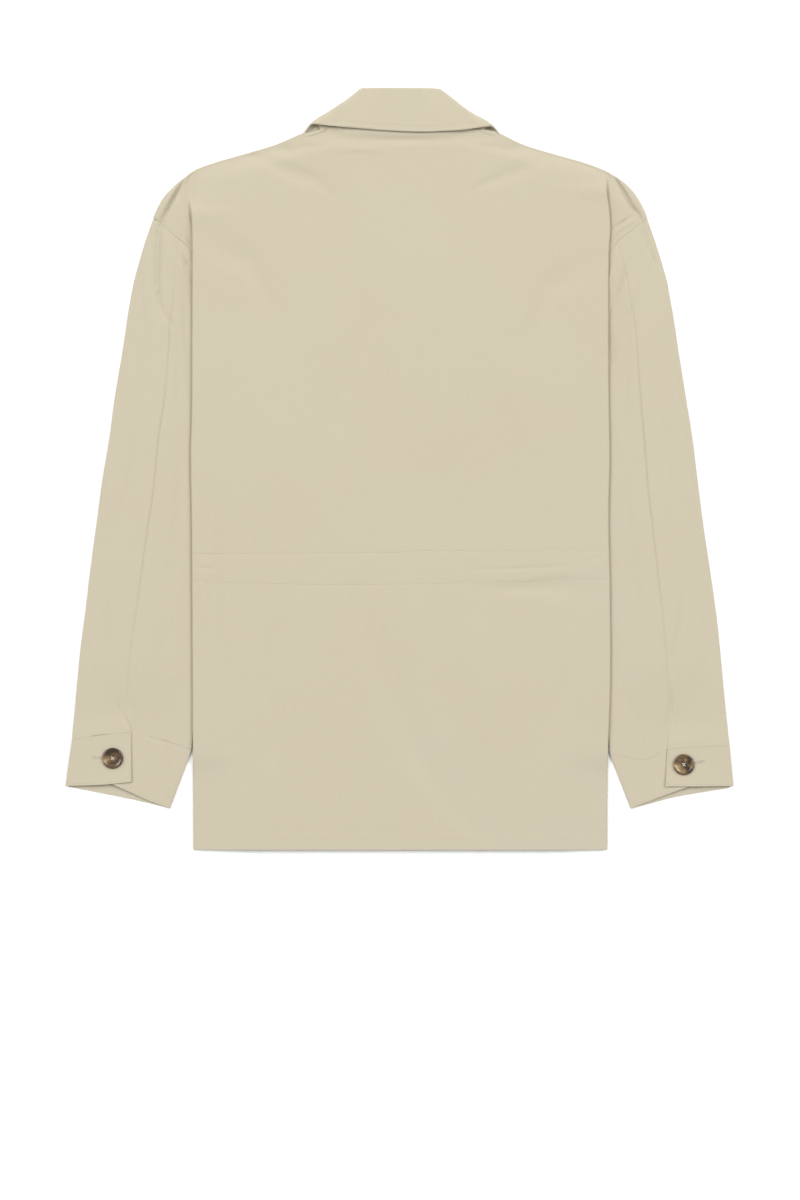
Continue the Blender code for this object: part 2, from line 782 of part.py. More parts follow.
# Buttons
BUTTON_PROFILE = (
    # share of the radius, height
    (0.0, 0.0),
    (0.86, 0.0),
    (1.0, 0.7),
    (1.0, 1.7),
    (0.9, BUTTON_THICK),
    (0.74, BUTTON_THICK),
    (0.62, 1.7),
    (0.0, 1.6),
)
CUFF_BUTTON_STEPS = (20, 8)
FRONT_BUTTON_STEPS = (12, 6)
SHARP_ANGLE = math.radians(40)


def make_button(name, side, out, down, bottom, steps, hole_steps):
    """Turned disc with a raised rim, a dished middle and four holes."""
    radius = BUTTON_D / 2
    mesh = bpy.data.meshes.new(name)
    shape = bmesh.new()
    rings = []
    for share, height in BUTTON_PROFILE:
        if share == 0.0:
            rings.append([shape.verts.new((0.0, 0.0, height * MM))])
            continue
        ring = []
        for index in range(steps):
            angle = 2 * math.pi * index / steps
            x = radius * share * math.cos(angle) * MM
            y = radius * share * math.sin(angle) * MM
            ring.append(shape.verts.new((x, y, height * MM)))
        rings.append(ring)
    for low, high in zip(rings, rings[1:]):
        for index in range(steps):
            after = (index + 1) % steps
            if len(low) == 1:
                shape.faces.new((low[0], high[after], high[index]))
            elif len(high) == 1:
                shape.faces.new((low[index], low[after], high[0]))
            else:
                shape.faces.new((low[index], low[after], high[after], high[index]))
    shape.to_mesh(mesh)
    shape.free()
    mesh.shade_smooth()
    mesh.set_sharp_from_angle(angle=SHARP_ANGLE)
    item = bpy.data.objects.new(name, mesh)
    bpy.context.collection.objects.link(item)
    item.location = place(side, out, down, bottom)
    horn = bpy.data.materials.new("horn_" + name)
    horn.use_nodes = True
    shader = horn.node_tree.nodes["Principled BSDF"]
    shader.inputs["Base Color"].default_value = HORN
    shader.inputs["Roughness"].default_value = 0.3
    mesh.materials.append(horn)
    drill = make_drill(name, hole_steps)
    drill.location = item.location
    holes = item.modifiers.new("holes", "BOOLEAN")
    holes.operation = "DIFFERENCE"
    holes.solver = "EXACT"
    holes.object = drill
    return item


def make_drill(name, hole_steps):
    """Four pins that cut the button's holes."""
    radius = HOLE_D / 2 * MM
    length = 4 * BUTTON_THICK * MM
    mesh = bpy.data.meshes.new(name + "_drill")
    shape = bmesh.new()
    for quarter in range(4):
        angle = math.pi * (2 * quarter + 1) / 4
        pin = bmesh.ops.create_cone(
            shape, cap_ends=True, segments=hole_steps, radius1=radius, radius2=radius, depth=length
        )
        offset = Vector((HOLE_OFFSET * math.cos(angle), HOLE_OFFSET * math.sin(angle), 0.0)) * MM
        bmesh.ops.translate(shape, verts=pin["verts"], vec=offset)
    shape.to_mesh(mesh)
    shape.free()
    item = bpy.data.objects.new(name + "_drill", mesh)
    bpy.context.collection.objects.link(item)
    item.hide_render = True
    item.display_type = "WIRE"
    return item


def main():
    for item in list(bpy.data.objects):
        bpy.data.objects.remove(item)
    make_back()
    for side in (LEFT, RIGHT):
        make_front(side)
        make_sleeve(side)
        make_cuff(side)
    make_stand()
    make_fall()
    for side, out, down in CUFF_BUTTONS:
        make_button("cuff_button_" + word(side), side, out, down, TAB_Z + WALL / 2 + GAP, *CUFF_BUTTON_STEPS)
    for index, down in enumerate(FRONT_BUTTON_DOWN):
        make_button("front_button_" + str(index + 1), LEFT, 0.0, down, 0.0, *FRONT_BUTTON_STEPS)


main()
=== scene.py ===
"""Safari jacket in cotton twill, laid face down: cloth shells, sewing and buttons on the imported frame."""

import math

import bmesh
import bpy
import numpy as np
from mathutils import Matrix, Vector
from mathutils.bvhtree import BVHTree


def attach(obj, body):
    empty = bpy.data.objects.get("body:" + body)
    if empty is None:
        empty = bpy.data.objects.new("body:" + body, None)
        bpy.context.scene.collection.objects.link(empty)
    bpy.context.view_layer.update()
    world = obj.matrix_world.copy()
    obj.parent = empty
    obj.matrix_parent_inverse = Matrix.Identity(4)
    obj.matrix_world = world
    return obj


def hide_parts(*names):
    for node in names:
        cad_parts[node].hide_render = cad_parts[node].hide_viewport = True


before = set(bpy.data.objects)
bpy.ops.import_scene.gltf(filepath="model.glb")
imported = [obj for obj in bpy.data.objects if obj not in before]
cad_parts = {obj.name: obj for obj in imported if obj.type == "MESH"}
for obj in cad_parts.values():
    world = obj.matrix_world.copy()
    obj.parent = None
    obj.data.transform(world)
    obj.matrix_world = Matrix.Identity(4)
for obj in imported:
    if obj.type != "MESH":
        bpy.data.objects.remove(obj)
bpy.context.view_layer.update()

# Driving sizes, in millimetres
MM = 0.001
LENGTH = 762.0
WALL = 1.2
GAP = 0.3
LAYER = WALL + GAP
FOLD_R = LAYER / 2
SIDE_R = 1.1
SHELL = 0.9
THICK_SHELL = 1.1
SEAM = 0.08
LEFT, RIGHT = -1, 1
NECK_HALF = {LEFT: 82.0, RIGHT: 88.0}
NECK_SIDE_DOWN = 39.0
BACK_NECK_DOWN = 36.0
FRONT_NECK_DOWN = 92.0

BUTTON_D = 21.0
BUTTON_THICK = 2.4
PLACKET_HALF = 16.0
PLACKET_RAMP = 18.0
PLACKET_LIFT = BUTTON_THICK + GAP
SLEEVE_LIFT = 2 * LAYER
BACK_PLATEAU = WALL / 2 + PLACKET_LIFT + 2 * LAYER
COLLAR_LAYER = 2.2

ARMPIT_DOWN = 209.0
SLEEVE_TOP_DOWN = 205.0
FOLD_START_DOWN = {LEFT: 104.0, RIGHT: 82.0}
FOLD_FORMED_DOWN = {LEFT: 140.0, RIGHT: 116.0}
SIDE_TURN = 14.0

# Shoulder edge, from the neck to the tip of the dropped shoulder
SHOULDER = (
    # down, left, right
    (39, 82, 88),
    (45.2, 97, 100),
    (56, 123, 123),
    (64.2, 150, 149),
    (74.2, 184.5, 184.2),
    (81, 203, 202.5),
    (89, 214.8, 217.3),
    (97.4, 224.3, 227.6),
    (107, 233.7, 235.9),
    (117.5, 240.4, 242),
    (129.7, 246, 247.5),
)

# Armhole seam, from the tip of the shoulder to the armpit
ARMHOLE = (
    # down, left, right
    (129.7, 246, 247.5),
    (134.4, 239, 242.5),
    (142, 232, 233.5),
    (149.8, 223, 223),
    (155.5, 215.3, 216.7),
    (163.1, 208, 210.5),
    (212, 167.5, 170),
)

# Fold of the body's side, as it shows on the back
SIDE_FOLD = (
    # down, left, right
    (84, 207.7, 205),
    (106, 209, 207.4),
    (121, 208.2, 209.8),
    (142, 207.4, 210.8),
    (163, 207.2, 209.4),
    (260, 207.5, 209),
    (312, 207.6, 209.4),
    (369, 208.8, 210.2),
    (430, 207.9, 209.1),
    (503, 207.5, 210.5),
    (592, 207, 210.8),
    (666, 206.7, 208.6),
    (761.6, 206.2, 208),
)

# Outer edge of the sleeve, from the shoulder tip to the cuff seam
SLEEVE_OUTER = (
    # down, left, right
    (129.7, 246, 247.5),
    (140, 250.7, 251.7),
    (154.5, 255.5, 256.8),
    (169.8, 260.3, 261.7),
    (190, 265.1, 267.1),
    (209, 268.9, 270.6),
    (232, 272.7, 274.7),
    (260.7, 276.9, 278.9),
    (312, 285.5, 287.1),
    (346, 289.9, 292.6),
    (394, 297.8, 298.6),
    (434, 303.1, 303.7),
    (476.5, 308.9, 310),
    (524, 314.6, 316.8),
    (561, 319.4, 320.8),
    (610.5, 324.2, 325.4),
    (639.7, 327.3, 328.9),
    (651, 327.5, 330),
)

# Inner edge of the sleeve and its cuff, which the body covers above 662 mm
SLEEVE_INNER = (
    # down, left, right
    (SLEEVE_TOP_DOWN, 173.4, 175.6),
    (300, 180.4, 182.8),
    (657, 206.6, 209.4),
    (662.5, 207.5, 210),
    (675.5, 214.5, 216.2),
    (685, 218.9, 220.4),
    (700.4, 222.6, 224.8),
    (713.4, 227, 229),
    (720.5, 229.7, 231.4),
)

# Back seam between the two halves of the sleeve
BACK_SEAM = (
    # down, left, right
    (150, 219.6, 216),
    (184, 223.9, 226.3),
    (211, 225.8, 230.1),
    (232, 229.5, 234.9),
    (260.7, 230.6, 237.7),
    (312, 235.2, 241.2),
    (350, 241, 244.6),
    (407, 246.7, 249.2),
    (446, 252.5, 253.9),
    (488, 258.2, 258.5),
    (522.5, 263, 262.6),
    (560.7, 268.7, 266.2),
    (610.5, 272.5, 270.4),
    (619, 273.2, 272.2),
    (627, 273.2, 270),
    (635, 271.8, 267.9),
    (643, 268.4, 267.8),
    (660, 268.2, 268),
)

# Slope of the collar, from its roll down to the edge of its fall
COLLAR_SLOPE = (
    # share, left_out, left_down, right_out, right_down
    (0.00, 38.5, 0, 40.5, 0.6),
    (0.25, 49.8, 9, 54.5, 11),
    (0.50, 62.5, 17.6, 67.5, 21.2),
    (0.75, 75, 26, 80, 28.8),
    (1.00, 86.8, 34.6, 91.8, 36.6),
)

# Edges of each cuff: the lapped end on top, the rest of the top layer and the layer under both
CUFF_TAB_EDGE = (
    # share, left_out, left_down, right_out, right_down
    (0, 334.3, 698, 334.1, 698),
    (0.6, 299, 696.8, 300, 698.4),
    (1, 268.2, 694, 266.1, 698.4),
)
CUFF_TOP_EDGE = (
    # share, left_out, left_down, right_out, right_down
    (0.00, 299, 691.3, 299, 695.6),
    (0.35, 271.5, 703.3, 276.4, 703.3),
    (0.70, 251.9, 712.3, 252, 712.6),
    (1.00, 229.7, 720.5, 231.5, 720.7),
)
CUFF_UNDER_EDGE = (
    # share, left_out, left_down, right_out, right_down
    (0.00, 229.7, 720.5, 231.5, 720.7),
    (0.21, 251.9, 714.9, 251.5, 715.6),
    (0.52, 284.5, 708, 276.4, 709),
    (1.00, 334.3, 698.3, 334.1, 699.3),
)
CUFF_SEAM = (
    # share, left_out, left_down, right_out, right_down
    (0.00, 327.8, 651.4, 330.4, 657.6),
    (0.45, 268.4, 644.2, 268.2, 661.5),
    (0.75, 241, 651.2, 245, 671.5),
    (1.00, 207.6, 661.5, 209.8, 665),
)
TAB_END = (
    # share, left_out, left_down, right_out, right_down
    (0.00, 268.2, 643.8, 268, 658.4),
    (0.28, 266.7, 657.5, 267.8, 663),
    (0.70, 266.9, 678.7, 266.6, 688),
    (1.00, 268.2, 694, 266.1, 698.4),
)

# Lower edge of the collar's fall, from the centre to its side
FALL_RIM = (
    # out, left_down, right_down
    (0, 43.4, 43.4),
    (3.5, 43.2, 43.6),
    (21.5, 42.1, 44.2),
    (42.5, 40.1, 43.5),
    (61.5, 38.3, 42),
    (76.5, 36.7, 39.7),
    (91.5, 35, 37.8),
)

CUFF_BUTTONS = (
    # side, out, down
    (LEFT, 286.8, 670.3),
    (RIGHT, 284.3, 676.6),
)
FRONT_BUTTON_DOWN = (150.0, 262.0, 374.0, 486.0, 598.0)

# Rows of stitches across the body, as x from the centre line and down
WAIST_UPPER = (
    # x, down
    (-210, 465.5),
    (-100, 465),
    (0, 464),
    (20, 462.4),
    (210, 461.8),
)
WAIST_LOWER = (
    # x, down
    (-210, 493),
    (-180, 494.2),
    (-60, 496.6),
    (40, 495.4),
    (61, 493.8),
    (135, 493.4),
    (157, 490.9),
    (210, 490.5),
)
HEM_STITCH_DOWN = 742.5


# Small helpers
def smooth(share):
    share = min(max(share, 0.0), 1.0)
    return share * share * (3 - 2 * share)


def lerp(a, b, share):
    return a + (b - a) * share


def mix(a, b, share):
    return lerp(a[0], b[0], share), lerp(a[1], b[1], share)


def spaced(low, high, step):
    """Numbers from low to high about one step apart."""
    count = max(1, round((high - low) / step))
    return [lerp(low, high, index / count) for index in range(count + 1)]


def slope(table, row, column):
    """Slope of a column at a row, taken between the rows beside it."""
    before = table[max(row - 1, 0)]
    after = table[min(row + 1, len(table) - 1)]
    return (after[column] - before[column]) / (after[0] - before[0])


def read(table, key, column):
    """Value of a table's column where its first column equals key, on a curve through its rows."""
    key = min(max(key, table[0][0]), table[-1][0])
    row = 0
    while row < len(table) - 2 and key > table[row + 1][0]:
        row += 1
    low, high = table[row], table[row + 1]
    span = high[0] - low[0]
    t = (key - low[0]) / span
    start = slope(table, row, column) * span
    end = slope(table, row + 1, column) * span
    value = (2 * t ** 3 - 3 * t ** 2 + 1) * low[column] + (3 * t ** 2 - 2 * t ** 3) * high[column]
    return value + (t ** 3 - 2 * t ** 2 + t) * start + (t ** 3 - t ** 2) * end


def edge(table, down, side):
    """Out of an edge at a given down."""
    return read(table, down, 1 if side == LEFT else 2)


def along(table, share, side):
    """Out and down of a point at a share of a two-column edge."""
    first = 1 if side == LEFT else 3
    return read(table, share, first), read(table, share, first + 1)


def word(side):
    return "left" if side == LEFT else "right"


def in_scene(name, data):
    item = bpy.data.objects.new(name, data)
    bpy.context.collection.objects.link(item)
    return item


def evaluated_mesh(item, name):
    """Plain mesh of an object with its modifiers applied."""
    graph = bpy.context.evaluated_depsgraph_get()
    made = bpy.data.meshes.new_from_object(item.evaluated_get(graph))
    made.name = name
    return made


def finished_mesh(shape, name):
    """Mesh of a bmesh, which is freed."""
    mesh = bpy.data.meshes.new(name)
    shape.to_mesh(mesh)
    shape.free()
    return mesh


def place(side, out, down, z, zone=""):
    """Point in metres, with the name of the zone whose folds it takes."""
    return side * out * MM, (LENGTH / 2 - down) * MM, z * MM, zone


# Heights of the layers
LEAF_RAMP = 15.0
LEAF_SIDE_WAY = (0.891, 0.4545)
LEAF_SIDE_REACH = 111.0
LEAF_END_DOWN = 134.5
SLEEVE_RAMP_OUT = 16.0
SLEEVE_RAMP = 14.5
SLEEVE_RAMP_DOWN = 18.0
BACK_RISE_RUN = 60.0


def leaf_mask(out, down):
    """1 over the collar's front leaves and fading to 0 outside them."""
    beyond_side = abs(out) * LEAF_SIDE_WAY[0] + down * LEAF_SIDE_WAY[1] - LEAF_SIDE_REACH
    beyond_point = down - LEAF_END_DOWN
    return 1 - smooth(max(beyond_side, beyond_point) / LEAF_RAMP)


def placket_mask(out):
    return 1 - smooth((abs(out) - PLACKET_HALF) / PLACKET_RAMP)


def sleeve_mask(side, out, down):
    """1 where the sleeve lies under the body's side, below the armpit."""
    start = smooth((down - ARMPIT_DOWN) / SLEEVE_RAMP_DOWN)
    inner = edge(SLEEVE_INNER, max(down, SLEEVE_TOP_DOWN), side)
    return start * smooth((out - (inner - SLEEVE_RAMP_OUT)) / SLEEVE_RAMP)


def front_z(side, out, down):
    lift = max(
        COLLAR_LAYER * leaf_mask(out, down),
        PLACKET_LIFT * placket_mask(out),
        SLEEVE_LIFT * sleeve_mask(side, out, down),
    )
    lap = LAYER * (1 - smooth((out - PLACKET_HALF) / PLACKET_RAMP)) if side == RIGHT else 0.0
    return WALL / 2 + lift + lap


def side_level(side, down):
    """Height of the back's upper layer at its side fold."""
    inner = edge(SLEEVE_INNER, max(down, SLEEVE_TOP_DOWN), side)
    fold = edge(SIDE_FOLD, down, side)
    lies_over = smooth((fold - (inner - SLEEVE_RAMP_OUT)) / SLEEVE_RAMP)
    return WALL / 2 + LAYER + SLEEVE_LIFT * lies_over


def back_z(out, main_start, level):
    """Height of the back's upper layer, rising from its edge to a plateau."""
    return lerp(level, BACK_PLATEAU, smooth((main_start - out) / BACK_RISE_RUN))


# Folds of the cloth, as soft troughs and ridges along a line. Each has its height (a trough is below 0),
# its half width and its line of x and down.
BACK_FOLDS = (
    (-0.7, 6, ((-80, 40), (-66, 42), (-50, 44.5))),
    (-0.7, 6, ((54, 46.5), (70, 44), (84, 42))),
    (-2.1, 11, ((-86, 46), (-52, 51), (-10, 52), (30, 52), (62, 50), (88, 48))),
    (0.8, 7, ((-60, 62), (-38, 61), (-16, 63))),
    (-1, 6, ((-74, 43), (-66, 47), (-56, 49))),
    (-1.6, 12, ((-150, 66), (-110, 84), (-84, 92), (-66, 108))),
    (-1.3, 11, ((150, 70), (116, 84), (86, 96), (70, 104))),
    (-1.4, 22, ((-196, 150), (-150, 175), (-120, 230))),
    (-1.2, 26, ((198, 170), (150, 200), (128, 270))),
    (-1.4, 34, ((-60, 120), (-40, 240), (-70, 380))),
    (1, 30, ((30, 140), (52, 260), (40, 400))),
    (-1.2, 32, ((100, 300), (112, 390), (96, 450))),
    (-1.6, 24, ((-26, 530), (-8, 600), (16, 660), (56, 724), (84, 748))),
    (1, 30, ((60, 520), (84, 600), (92, 660))),
    (-1.2, 26, ((-120, 510), (-132, 600), (-118, 690))),
    (-1.6, 20, ((-190, 410), (-184, 470), (-186, 540), (-182, 610))),
    (-1.2, 18, ((84, 503), (120, 500), (160, 499), (192, 503))),
    (-0.5, 3.4, ((66, 481.5), (100, 481), (140, 480), (168, 478))),
    (-1.2, 22, ((150, 540), (158, 600), (146, 660))),
    (-0.6, 2.6, ((-204, 478.5), (-192, 480.5), (-180, 481))),
    (-0.5, 2.4, ((206, 468), (196, 471), (186, 472))),
)
LEFT_ARM_FOLDS = (
    (-1.7, 3, ((-214.5, 88), (-219.5, 97), (-227, 111), (-236, 129), (-239, 138))),
    (-1.9, 3.4, ((-238, 134), (-241.5, 148), (-242, 170), (-242, 196), (-241, 214),
                (-236.5, 228), (-229, 234))),
    (-1.8, 4, ((-211, 138), (-210.5, 150), (-210, 176), (-209.5, 206))),
    (-1, 6, ((-214, 206), (-216, 226), (-214, 250), (-212, 276), (-212, 320))),
    (-2.1, 4.2, ((-212, 84), (-217, 94), (-226, 110), (-234, 125), (-239, 138))),
    (1.7, 6, ((-206, 84), (-217, 93), (-231, 107), (-240, 122), (-246, 142))),
    (-1.6, 7, ((-237, 130), (-241, 146), (-242, 170), (-242, 196), (-240.5, 214), (-234, 229),
                (-226, 238))),
    (1.3, 6.5, ((-252.5, 150), (-253.5, 180), (-253, 214), (-257, 246))),
    (1, 5, ((-230, 158), (-230, 182), (-231, 206))),
    (-2, 2.8, ((-217.5, 168), (-214, 176), (-210.5, 185), (-207.5, 192))),
    (1, 3, ((-222, 172), (-218.5, 181), (-214.5, 191))),
    (-2, 2.6, ((-216.5, 170), (-213, 178), (-209.5, 187))),
    (-1.2, 2.6, ((-216, 199.5), (-212, 202), (-206, 205))),
    (-1, 5, ((-210, 212), (-214, 228), (-214, 246), (-210, 262))),
    (-1.3, 9, ((-228, 240), (-222, 280), (-220, 330))),
    (-1.2, 10, ((-258, 300), (-268, 380), (-281, 450))),
    (-1.1, 9, ((-218, 350), (-222, 430), (-228, 510))),
    (-1, 9, ((-291, 500), (-296, 560), (-303, 610))),
    (-0.9, 7, ((-236, 540), (-244, 590), (-250, 630))),
    (-1.2, 2.1, ((-286.5, 607), (-284, 614), (-280.5, 620), (-275, 629.5), (-270.5, 638), (-268, 645))),
    (0.7, 2.6, ((-280.5, 610), (-276.5, 618), (-270.5, 628), (-266, 637))),
    (-0.8, 2.2, ((-291, 600), (-289.5, 610), (-286, 618))),
)
RIGHT_ARM_FOLDS = (
    (-1.7, 3, ((214, 88), (220.9, 98.4), (228, 110), (232.3, 118), (240.4, 127), (243, 136))),
    (-0.8, 3, ((242, 134), (247.3, 150), (252.5, 164), (258, 180))),
    (-2.1, 3.6, ((226, 180), (224, 190), (220, 204), (214, 220), (209.5, 232))),
    (-1.6, 5, ((216.5, 212), (211, 226), (209.5, 240), (210.5, 256), (211.5, 276))),
    (-2.1, 4.2, ((212, 84), (220.9, 98.4), (232.3, 118), (239.4, 127), (243, 137))),
    (1.7, 6, ((206, 82), (219, 91), (233, 104), (243, 119), (250, 142))),
    (-1.3, 4.5, ((242, 134), (247.3, 150), (252.5, 164), (259, 182))),
    (-1.3, 2, ((209, 142), (216, 138.6), (223.2, 134), (231.2, 128.8), (239, 129.5))),
    (0.8, 3, ((210, 147.5), (218, 143), (226, 138), (234, 134))),
    (-1.3, 5.8, ((229, 170), (225.5, 183), (221, 201), (214.5, 219), (207.5, 236))),
    (1.9, 6, ((216, 164), (213.5, 184), (209, 202))),
    (1.6, 6, ((236, 190), (232, 210), (226, 226))),
    (-1.2, 4, ((219, 250), (214, 268), (208, 284))),
    (-1.4, 8, ((232, 236), (226, 290), (226, 350))),
    (-1.2, 11, ((262, 250), (268, 330), (278, 420))),
    (-1.1, 9, ((226, 400), (234, 470), (240, 540))),
    (-1.4, 4.6, ((285.5, 500), (283, 520), (279, 542), (272, 572), (269.5, 592))),
    (-0.9, 9, ((302, 440), (308, 520), (314, 600))),
    (-1.7, 3, ((270.6, 596), (272, 612), (271.5, 622), (269, 630), (267.8, 640), (267.8, 648))),
    (0.9, 3, ((276, 602), (277, 618), (274.5, 632), (272.5, 646))),
    (-0.9, 2.4, ((255, 644), (260, 638), (265.5, 632))),
    (-0.9, 7, ((222, 600), (232, 622), (242, 645))),
)
LEFT_CUFF_FOLDS = (
    (-0.5, 1.8, ((-262.8, 644.8), (-251.9, 646.8), (-241.1, 651.6), (-230.2, 656), (-220.5, 655.6))),
    (-0.45, 2.6, ((-234, 677), (-226, 678.5), (-220, 680))),
    (-0.3, 6, ((-262, 660), (-256, 676), (-252, 694))),
    (-0.3, 7, ((-320, 664), (-318, 678), (-321, 690))),
)
RIGHT_CUFF_FOLDS = (
    (-0.35, 2, ((248, 674), (254.5, 671.6), (261, 668.4), (265.5, 667))),
    (-0.4, 2.4, ((265.3, 657), (264.8, 662), (264.6, 668))),
    (-0.3, 6, ((240, 682), (246, 692), (249, 704))),
    (-0.3, 7, ((318, 668), (316, 680), (319, 692))),
)
FRONT_FOLDS = (
    (1.2, 14, ((-150, 170), (-110, 250), (-96, 350))),
    (0.9, 12, ((-70, 200), (-64, 330), (-78, 430))),
    (1.1, 16, ((-120, 520), (-108, 610), (-122, 700))),
    (1, 12, ((-62, 540), (-70, 620), (-58, 690))),
    (1.2, 14, ((146, 180), (118, 262), (100, 340))),
    (0.9, 12, ((72, 230), (60, 340), (74, 440))),
    (1.1, 15, ((116, 530), (126, 620), (110, 690))),
    (1, 12, ((66, 520), (58, 600), (72, 680))),
)
LEFT_UNDER_FOLDS = (
    (0.7, 8, ((-236, 200), (-242, 280), (-250, 350))),
    (0.6, 7, ((-256, 330), (-268, 420), (-274, 500))),
    (0.6, 8, ((-284, 480), (-290, 550), (-296, 610))),
    (0.5, 6, ((-236, 500), (-246, 560), (-250, 620))),
)
RIGHT_UNDER_FOLDS = (
    (0.7, 8, ((240, 190), (246, 270), (252, 340))),
    (0.6, 7, ((258, 320), (266, 410), (276, 490))),
    (0.6, 8, ((286, 470), (292, 540), (300, 600))),
    (0.5, 6, ((240, 490), (244, 560), (254, 630))),
)
SWELL_LEAST = 0.75
SWELL_WAVES = 5.0
FOLD_TAPER = 0.04
FOLD_END_POWER = 0.6
SEAM_GROOVE = (-1.1, 1.7)
ARMHOLE_GROOVE = (-0.8, 1.6)


def seam_grooves(side):
    """Shallow troughs along the seams of an arm."""
    column = 1 if side == LEFT else 2
    grooves = []
    for size, table in ((SEAM_GROOVE, BACK_SEAM), (ARMHOLE_GROOVE, ARMHOLE)):
        grooves.append(size + (tuple((side * row[column], row[0]) for row in table),))
    return tuple(grooves)


ZONE_FOLDS = {
    "back": BACK_FOLDS,
    "arm_left": LEFT_ARM_FOLDS + seam_grooves(LEFT),
    "arm_right": RIGHT_ARM_FOLDS + seam_grooves(RIGHT),
    "cuff_left": LEFT_CUFF_FOLDS,
    "cuff_right": RIGHT_CUFF_FOLDS,
    "front": FRONT_FOLDS,
    "under_left": LEFT_UNDER_FOLDS,
    "under_right": RIGHT_UNDER_FOLDS,
}


def line_distance(x, down, line):
    """Distance of points from a line of straight runs, and the share of its length at the nearest spot."""
    best = np.full(x.shape, 1e9)
    share = np.zeros(x.shape)
    lengths = [math.dist(a, b) for a, b in zip(line, line[1:])]
    gone = 0.0
    for (ax, ad), (bx, bd), length in zip(line, line[1:], lengths):
        t = np.clip(((x - ax) * (bx - ax) + (down - ad) * (bd - ad)) / length ** 2, 0.0, 1.0)
        distance = np.hypot(x - ax - (bx - ax) * t, down - ad - (bd - ad) * t)
        nearer = distance < best
        best = np.where(nearer, distance, best)
        share = np.where(nearer, (gone + t * length) / sum(lengths), share)
        gone += length
    return best, share


def fold_height(x, down, folds):
    """Height that the folds of a zone add at points."""
    total = np.zeros(x.shape)
    for index, (height, width, line) in enumerate(folds):
        distance, share = line_distance(x, down, line)
        swell = width * (SWELL_LEAST + (1 - SWELL_LEAST) * np.sin(SWELL_WAVES * share + index))
        across = np.clip(1 - (distance / swell) ** 2, 0.0, 1.0) ** 2
        ends = np.sin(math.pi * np.clip(share, FOLD_TAPER, 1 - FOLD_TAPER)) ** FOLD_END_POWER
        total += height * across * ends
    return total


STITCH_SINK = 0.14
STITCH_HALF = 1.3
PUCKER = 0.12
PUCKER_RUN = 4.0
CHANNEL_PUFF = 0.16
HEM_THICK = 0.22
HEM_SINK = 0.12
HEM_PUCKER = 0.05


def row_curve(table, x):
    """Down of a stitch row at each x."""
    return np.interp(x, [row[0] for row in table], [row[1] for row in table])


def sewn_height(x, down):
    """Relief of the waist channel and of the turned hem: sunk stitch rows, soft cloth between, puckers."""
    upper = row_curve(WAIST_UPPER, x)
    lower = row_curve(WAIST_LOWER, x)
    total = np.zeros(x.shape)
    for index, row in enumerate((upper, lower)):
        total -= STITCH_SINK * np.exp(-((down - row) / STITCH_HALF) ** 2)
        uneven = 0.5 + 0.5 * np.sin(x / 31.0 + 2 * index) ** 2
        ripple = np.sin(x / 2.1 + 2.3 * np.sin(x / 17.0 + index)) * uneven
        near_side = 0.35 + 0.65 * np.clip((np.abs(x) - 60.0) / 140.0, 0.0, 1.0)
        total += PUCKER * ripple * near_side * np.exp(-((down - row) / PUCKER_RUN) ** 2)
    middle = (down - upper) / (lower - upper)
    inside = np.clip(1 - (2 * middle - 1) ** 2, 0.0, 1.0)
    total += CHANNEL_PUFF * inside
    wave = np.sin(x / 6.3 + 1.7 * np.sin(x / 23.0))
    total += CHANNEL_PUFF * inside * wave * np.clip((np.abs(x) - 90.0) / 110.0, 0.0, 1.0)
    hem = np.clip((down - HEM_STITCH_DOWN + 1.5) / 3.0, 0.0, 1.0)
    total += HEM_THICK * hem * hem * (3 - 2 * hem)
    total -= HEM_SINK * np.exp(-((down - HEM_STITCH_DOWN) / STITCH_HALF) ** 2)
    wave = np.sin(x / 2.6 + np.sin(x / 19.0))
    total += HEM_PUCKER * wave * np.exp(-((down - HEM_STITCH_DOWN) / PUCKER_RUN) ** 2)
    return total


def relief(spots, zones):
    """What folds and sewing add to the height of points, in metres."""
    x = spots[:, 0] / MM
    down = LENGTH / 2 - spots[:, 1] / MM
    total = np.zeros(len(spots))
    for zone, folds in ZONE_FOLDS.items():
        inside = zones == zone
        if inside.any():
            total[inside] += fold_height(x[inside], down[inside], folds)
    sewn = (zones == "back") | (zones == "front")
    raised = sewn_height(x, down)
    total[sewn] += np.where(zones == "front", 0.5 * np.maximum(raised, 0.0), raised)[sewn]
    return total * MM


def unrolled(grid, reference):
    """Flat place of each point of a grid: the way along its row and down the reference column."""
    flat = {}
    gone = 0.0
    last = None
    for r, row in enumerate(grid):
        spot = row[reference]
        gone += (Vector(spot[:3]) - Vector(last)).length if last else 0.0
        last = spot[:3]
        for direction in (1, -1):
            way = 0.0
            before = spot[:3]
            c = reference
            while 0 <= c < len(row) and row[c] is not None:
                way += (Vector(row[c][:3]) - Vector(before)).length
                before = row[c][:3]
                flat[r, c] = (direction * way, -gone)
                c += direction
    return flat


RIM_ANGLE = math.radians(55)
LEAST_ARM_Z = 1.35
LIMIT_SOFTNESS = 0.15


def grid_faces(rows):
    """Points of a grid that faces use, the zone of each point and the faces between them."""
    index = {}
    spots = []
    zones = []
    faces = []
    for r in range(len(rows) - 1):
        for c in range(len(rows[0]) - 1):
            corners = [(r, c), (r + 1, c), (r + 1, c + 1), (r, c + 1)]
            if any(rows[a][b] is None for a, b in corners):
                continue
            for key in corners:
                if key not in index:
                    index[key] = len(spots)
                    spots.append(rows[key[0]][key[1]][:3])
                    zones.append(rows[key[0]][key[1]][3])
            faces.append([index[key] for key in corners])
    return index, np.array(spots), np.array(zones), faces


